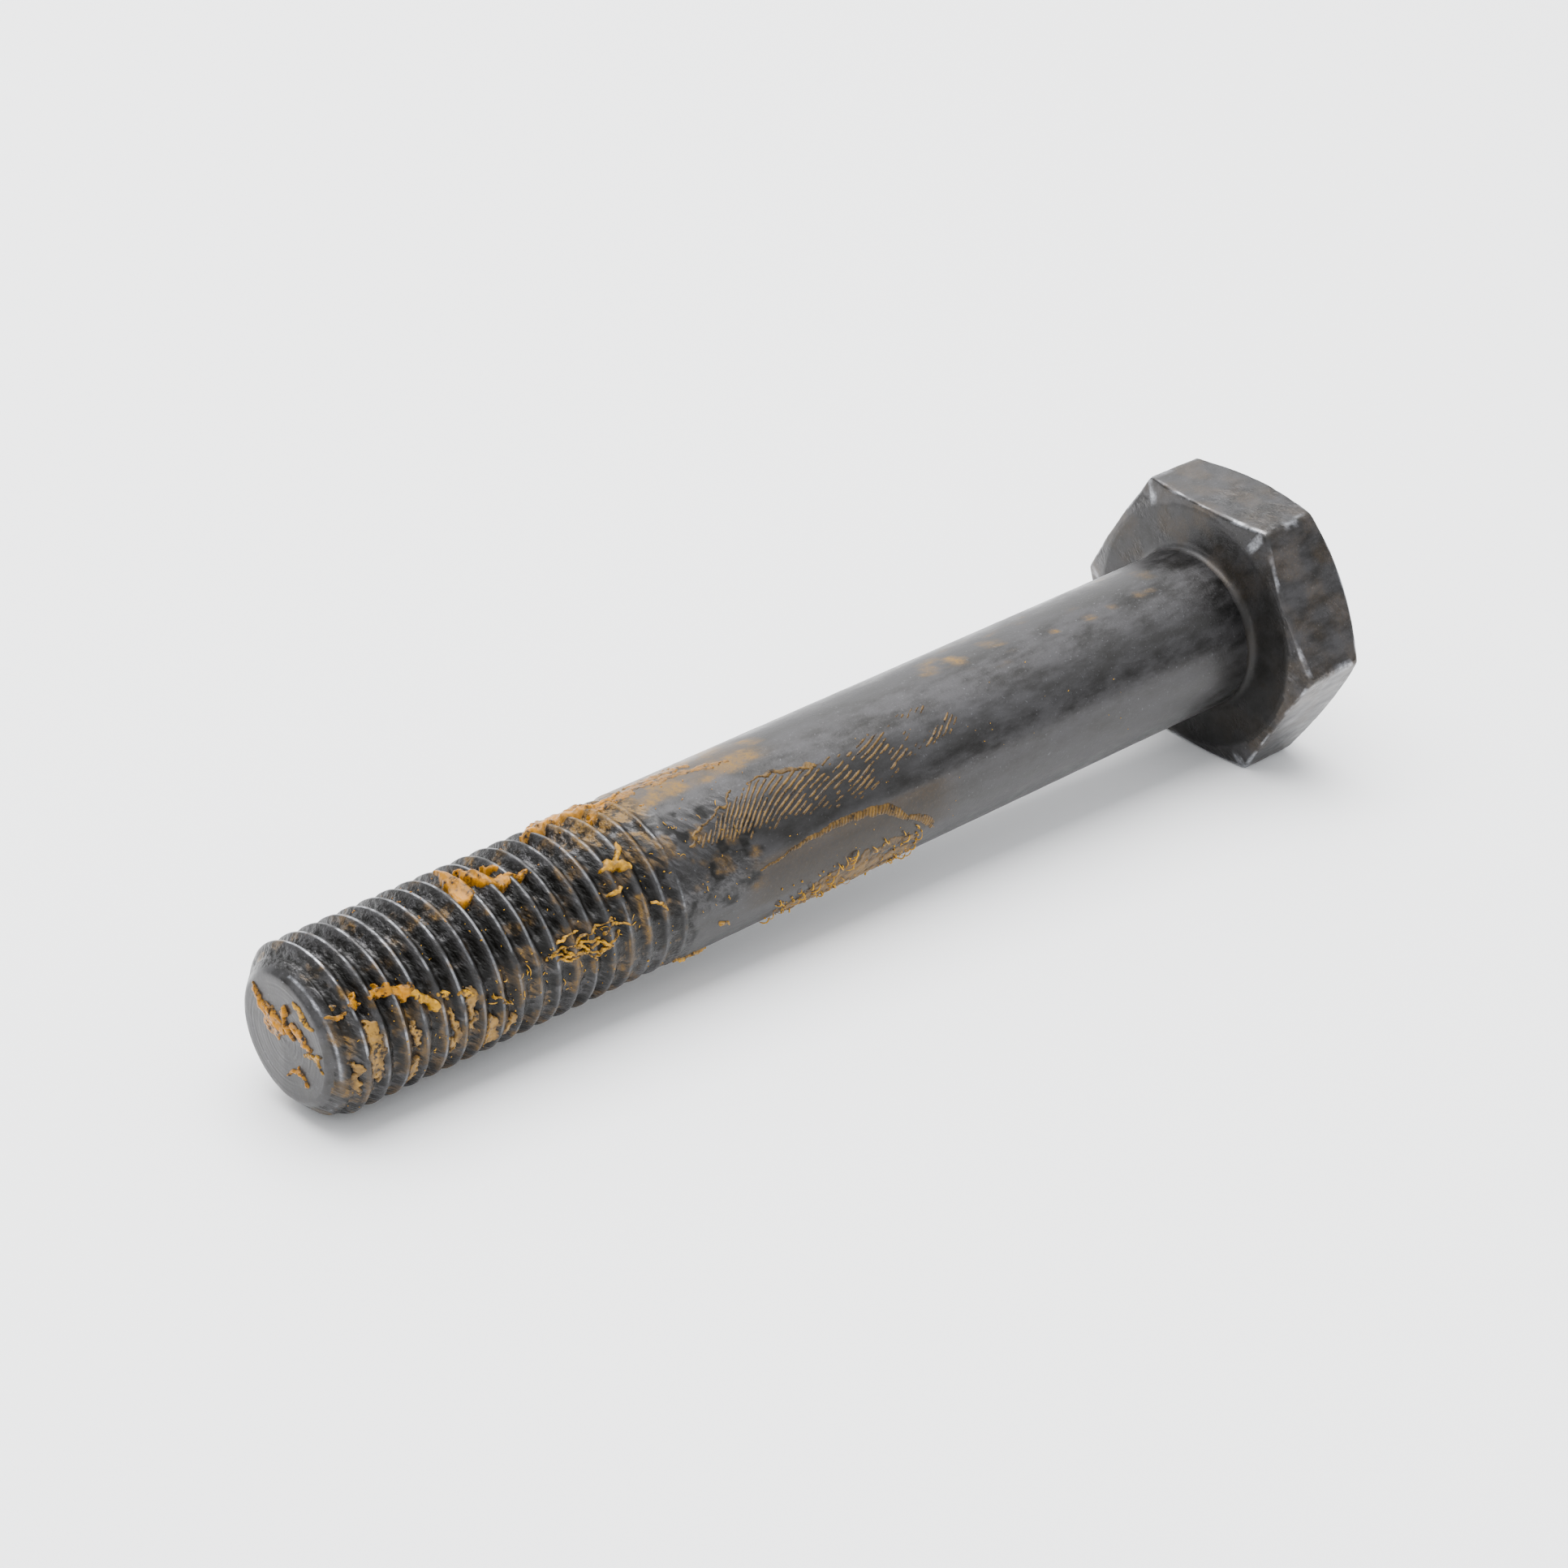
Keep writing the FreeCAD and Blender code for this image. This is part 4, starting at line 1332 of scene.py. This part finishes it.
    def point_pieces(self) -> dict[str, Any]:
        """The grease on the flat of the point, by CAD node."""
        lump = (
            Stroke(((-3.9, 3.4, 0.15), (-3.4, 2.5, 0.5), (-2.9, 1.9, 0.6), (-2.4, 1.6, 0.6)), 0.36),
            Stroke(((-2.6, 2.0, 0.7), (-1.7, 1.4, 1.05), (-0.9, 1.0, 0.95), (-0.1, 0.8, 0.4)), 0.46),
            Stroke(((-2.4, 0.6, 0.2), (-1.6, 0.2, 0.5), (-0.8, -0.1, 0.3)), 0.26),
        )
        ridge = (
            Stroke(((0.4, 3.3, 0.2), (0.0, 2.6, 0.26), (0.2, 1.9, 0.3), (0.9, 1.3, 0.26),
                    (1.3, 0.9, 0.15)), 0.5),
            Stroke(((1.3, 2.0, 0.3), (2.3, 1.6, 0.55), (3.2, 1.2, 0.5), (3.8, 0.9, 0.3)), 0.42),
        )
        speck = (
            Stroke(((1.7, 4.4, 0.2), (2.4, 4.1, 0.4), (3.1, 3.6, 0.3), (3.6, 3.4, 0.16),
                    (4.2, 3.3, 0.14)), 0.3),
        )
        rim = (
            Stroke(((2.9, 0.0, 0.1), (3.9, 0.4, 0.3), (4.8, 0.5, 0.42), (5.3, 0.8, 0.2)), 0.26),
            Stroke(((4.8, 0.4, 0.3), (5.2, -0.1, 0.22), (5.4, -0.5, 0.12)), 0.2),
        )
        low = (
            Stroke(((0.6, -3.2, 0.12), (1.2, -2.6, 0.2), (1.9, -2.1, 0.22), (2.5, -2.4, 0.18),
                    (3.0, -3.2, 0.14)), 0.36),
        )
        shapes = (
            ("point_lump", lump, Grease.AMBER, 340),
            ("point_ridge", ridge, Grease.AMBER, 350),
            ("point_speck", speck, Grease.STRAW, 360),
            ("point_rim_dab", rim, Grease.STRAW, 370),
            ("point_low_dab", low, Grease.AMBER, 380),
        )
        return {name: PointDab(name, strokes, look, seed=seed) for name, strokes, look, seed in shapes}

    def loose_pieces(self) -> list[Fibres]:
        """Bristles and crumbs that have no solid of their own."""
        straw, amber, free, up = Grease.STRAW, Grease.AMBER, (0.0, 360.0), (40.0, 140.0)
        shapes = (
            ("under_bristles", 130, (43.0, 61.0), (-50.0, -9.0), (0.15, 1.5), (0.03, 0.08), up, 0.4, straw),
            ("front_crumbs", 110, (72.0, 107.0), (-40.0, 62.0), (0.05, 0.35), (0.02, 0.06), free, 0.15, straw),
            ("web_bristles", 45, (77.0, 93.0), (-6.0, 30.0), (0.1, 1.3), (0.02, 0.05), free, 0.15, straw),
            ("runout_bristles", 45, (64.0, 78.0), (0.0, 66.0), (0.08, 0.8), (0.015, 0.04), free, 0.15, straw),
            ("top_crumbs", 70, (60.0, 100.0), (60.0, 125.0), (0.08, 0.4), (0.02, 0.06), free, 0.15, amber),
            ("shank_crumbs", 45, (14.0, 66.0), (-20.0, 70.0), (0.05, 0.22), (0.015, 0.045), free, 0.15, straw),
        )
        return [Fibres(*sizes, seed=401 + number) for number, sizes in enumerate(shapes)]


# ---------------------------------------------------------------------------------------------
# The stage


@dataclass
class Studio:
    """White board, soft lights and the camera."""

    aim: tuple[float, float, float] = (52.013, -1.474, 1.770)
    distance: float = 374.209
    azimuth: float = 138.022
    elevation: float = 31.765
    roll: float = 1.112
    lens: float = 94.734
    board_tilt: float = 2.72
    board_drop: float = 13.17
    board_half_side: float = 1500.0
    horizon_light: float = 0.5
    ceiling_light: float = 1.9

    def board(self) -> None:
        """Lay the board under the head's lower flat and the thread, which it touches."""
        ends = (-self.board_half_side, self.board_half_side)
        points = np.array([(x, y, 0.0) for x in ends for y in ends])
        points[:, 2] = math.tan(math.radians(self.board_tilt)) * points[:, 0] - self.board_drop
        mesh = bpy.data.meshes.new("studio_board")
        mesh.from_pydata((points * MM).tolist(), [], [(0, 2, 3, 1)])
        mesh.materials.append(StudioBoard().build())
        board = bpy.data.objects.new("studio_board", mesh)
        bpy.context.scene.collection.objects.link(board)

    def lamp(
        self, name: str, azimuth: float, elevation: float, away: float, size: float, power: float
    ) -> None:
        """Hang a square soft light that faces the bolt.

        Args:
            name: the lamp's name.
            azimuth: degrees round the bolt, as for the camera.
            elevation: degrees above the horizon.
            away: distance from the bolt in mm.
            size: side of the light in mm.
            power: watts.
        """
        back = direction(azimuth, elevation)
        data = bpy.data.lights.new(name, "AREA")
        data.shape = "SQUARE"
        data.size = size * MM
        data.energy = power
        lamp = bpy.data.objects.new(name, data)
        facing = back.to_track_quat("Z", "Y").to_matrix().to_4x4()
        lamp.matrix_world = Matrix.Translation((Vector(self.aim) + back * away) * MM) @ facing
        bpy.context.scene.collection.objects.link(lamp)

    def surroundings(self) -> None:
        """Light the room softly from all round, less near the horizon than from the ceiling."""
        world = bpy.data.worlds.new("studio")
        world.use_nodes = True
        tree = world.node_tree
        way = add_node(tree, "TexCoord").outputs["Generated"]
        height = add_node(tree, "SeparateXYZ", sockets={0: way}).outputs[2]
        sockets = {0: height, 1: 0.1, 2: 0.62, 3: self.horizon_light, 4: self.ceiling_light}
        light = add_node(tree, "MapRange", EASED, sockets).outputs[0]
        background = tree.nodes["Background"]
        background.inputs["Color"].default_value = (0.95, 0.97, 1.0, 1.0)
        tree.links.new(light, background.inputs["Strength"])
        bpy.context.scene.world = world

    def camera(self) -> None:
        """Set the camera up behind its aim, then roll it about its line of sight."""
        back = direction(self.azimuth, self.elevation)
        right = Vector((0.0, 0.0, 1.0)).cross(back).normalized()
        up = back.cross(right)
        roll = Matrix.Rotation(math.radians(self.roll), 4, "Z")
        turn = Matrix((right, up, back)).transposed().to_4x4() @ roll
        data = bpy.data.cameras.new("camera")
        data.lens = self.lens
        data.sensor_width = 36.0
        data.clip_start = 0.01
        camera = bpy.data.objects.new("camera", data)
        camera.matrix_world = Matrix.Translation((Vector(self.aim) + back * self.distance) * MM) @ turn
        bpy.context.scene.collection.objects.link(camera)
        bpy.context.scene.camera = camera


def direction(azimuth: float, elevation: float) -> Vector:
    """The direction from the bolt towards a place round it, with azimuth 0 on the -Y side."""
    a, e = math.radians(azimuth), math.radians(elevation)
    return Vector((math.sin(a) * math.cos(e), -math.cos(a) * math.cos(e), math.sin(e)))


def main() -> None:
    """Build the pieces in order."""
    logging.basicConfig(level=logging.INFO, format="%(message)s")
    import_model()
    studio = Studio()
    studio.board()
    studio.camera()
    studio.surroundings()
    studio.lamp("overhead", azimuth=0.0, elevation=80.0, away=800.0, size=900.0, power=20.0)
    studio.lamp("backdrop", azimuth=335.0, elevation=24.0, away=750.0, size=700.0, power=2.5)
    steel = OiledBlackSteel().build()
    GREASE_MATERIALS.update({look: look.value.build() for look in Grease})
    form = BoltForm()
    for part in (ShankAndThread(form, steel), HexHead(form, steel)):
        piece = part.build()
        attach(piece, "root")
        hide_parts("bolt")
        report_piece(piece)
    coat = GreaseCoat(form)
    deposits = coat.thread_pieces() | coat.shank_pieces() | coat.groove_pieces() | coat.point_pieces()
    for name, deposit in deposits.items():
        piece = deposit.build()
        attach(piece, "root")
        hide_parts("grease_" + name)
        report_piece(piece)
    for fibres in coat.loose_pieces():
        piece = fibres.build()
        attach(piece, "root")
        report_piece(piece)


if __name__ == "__main__":
    main()
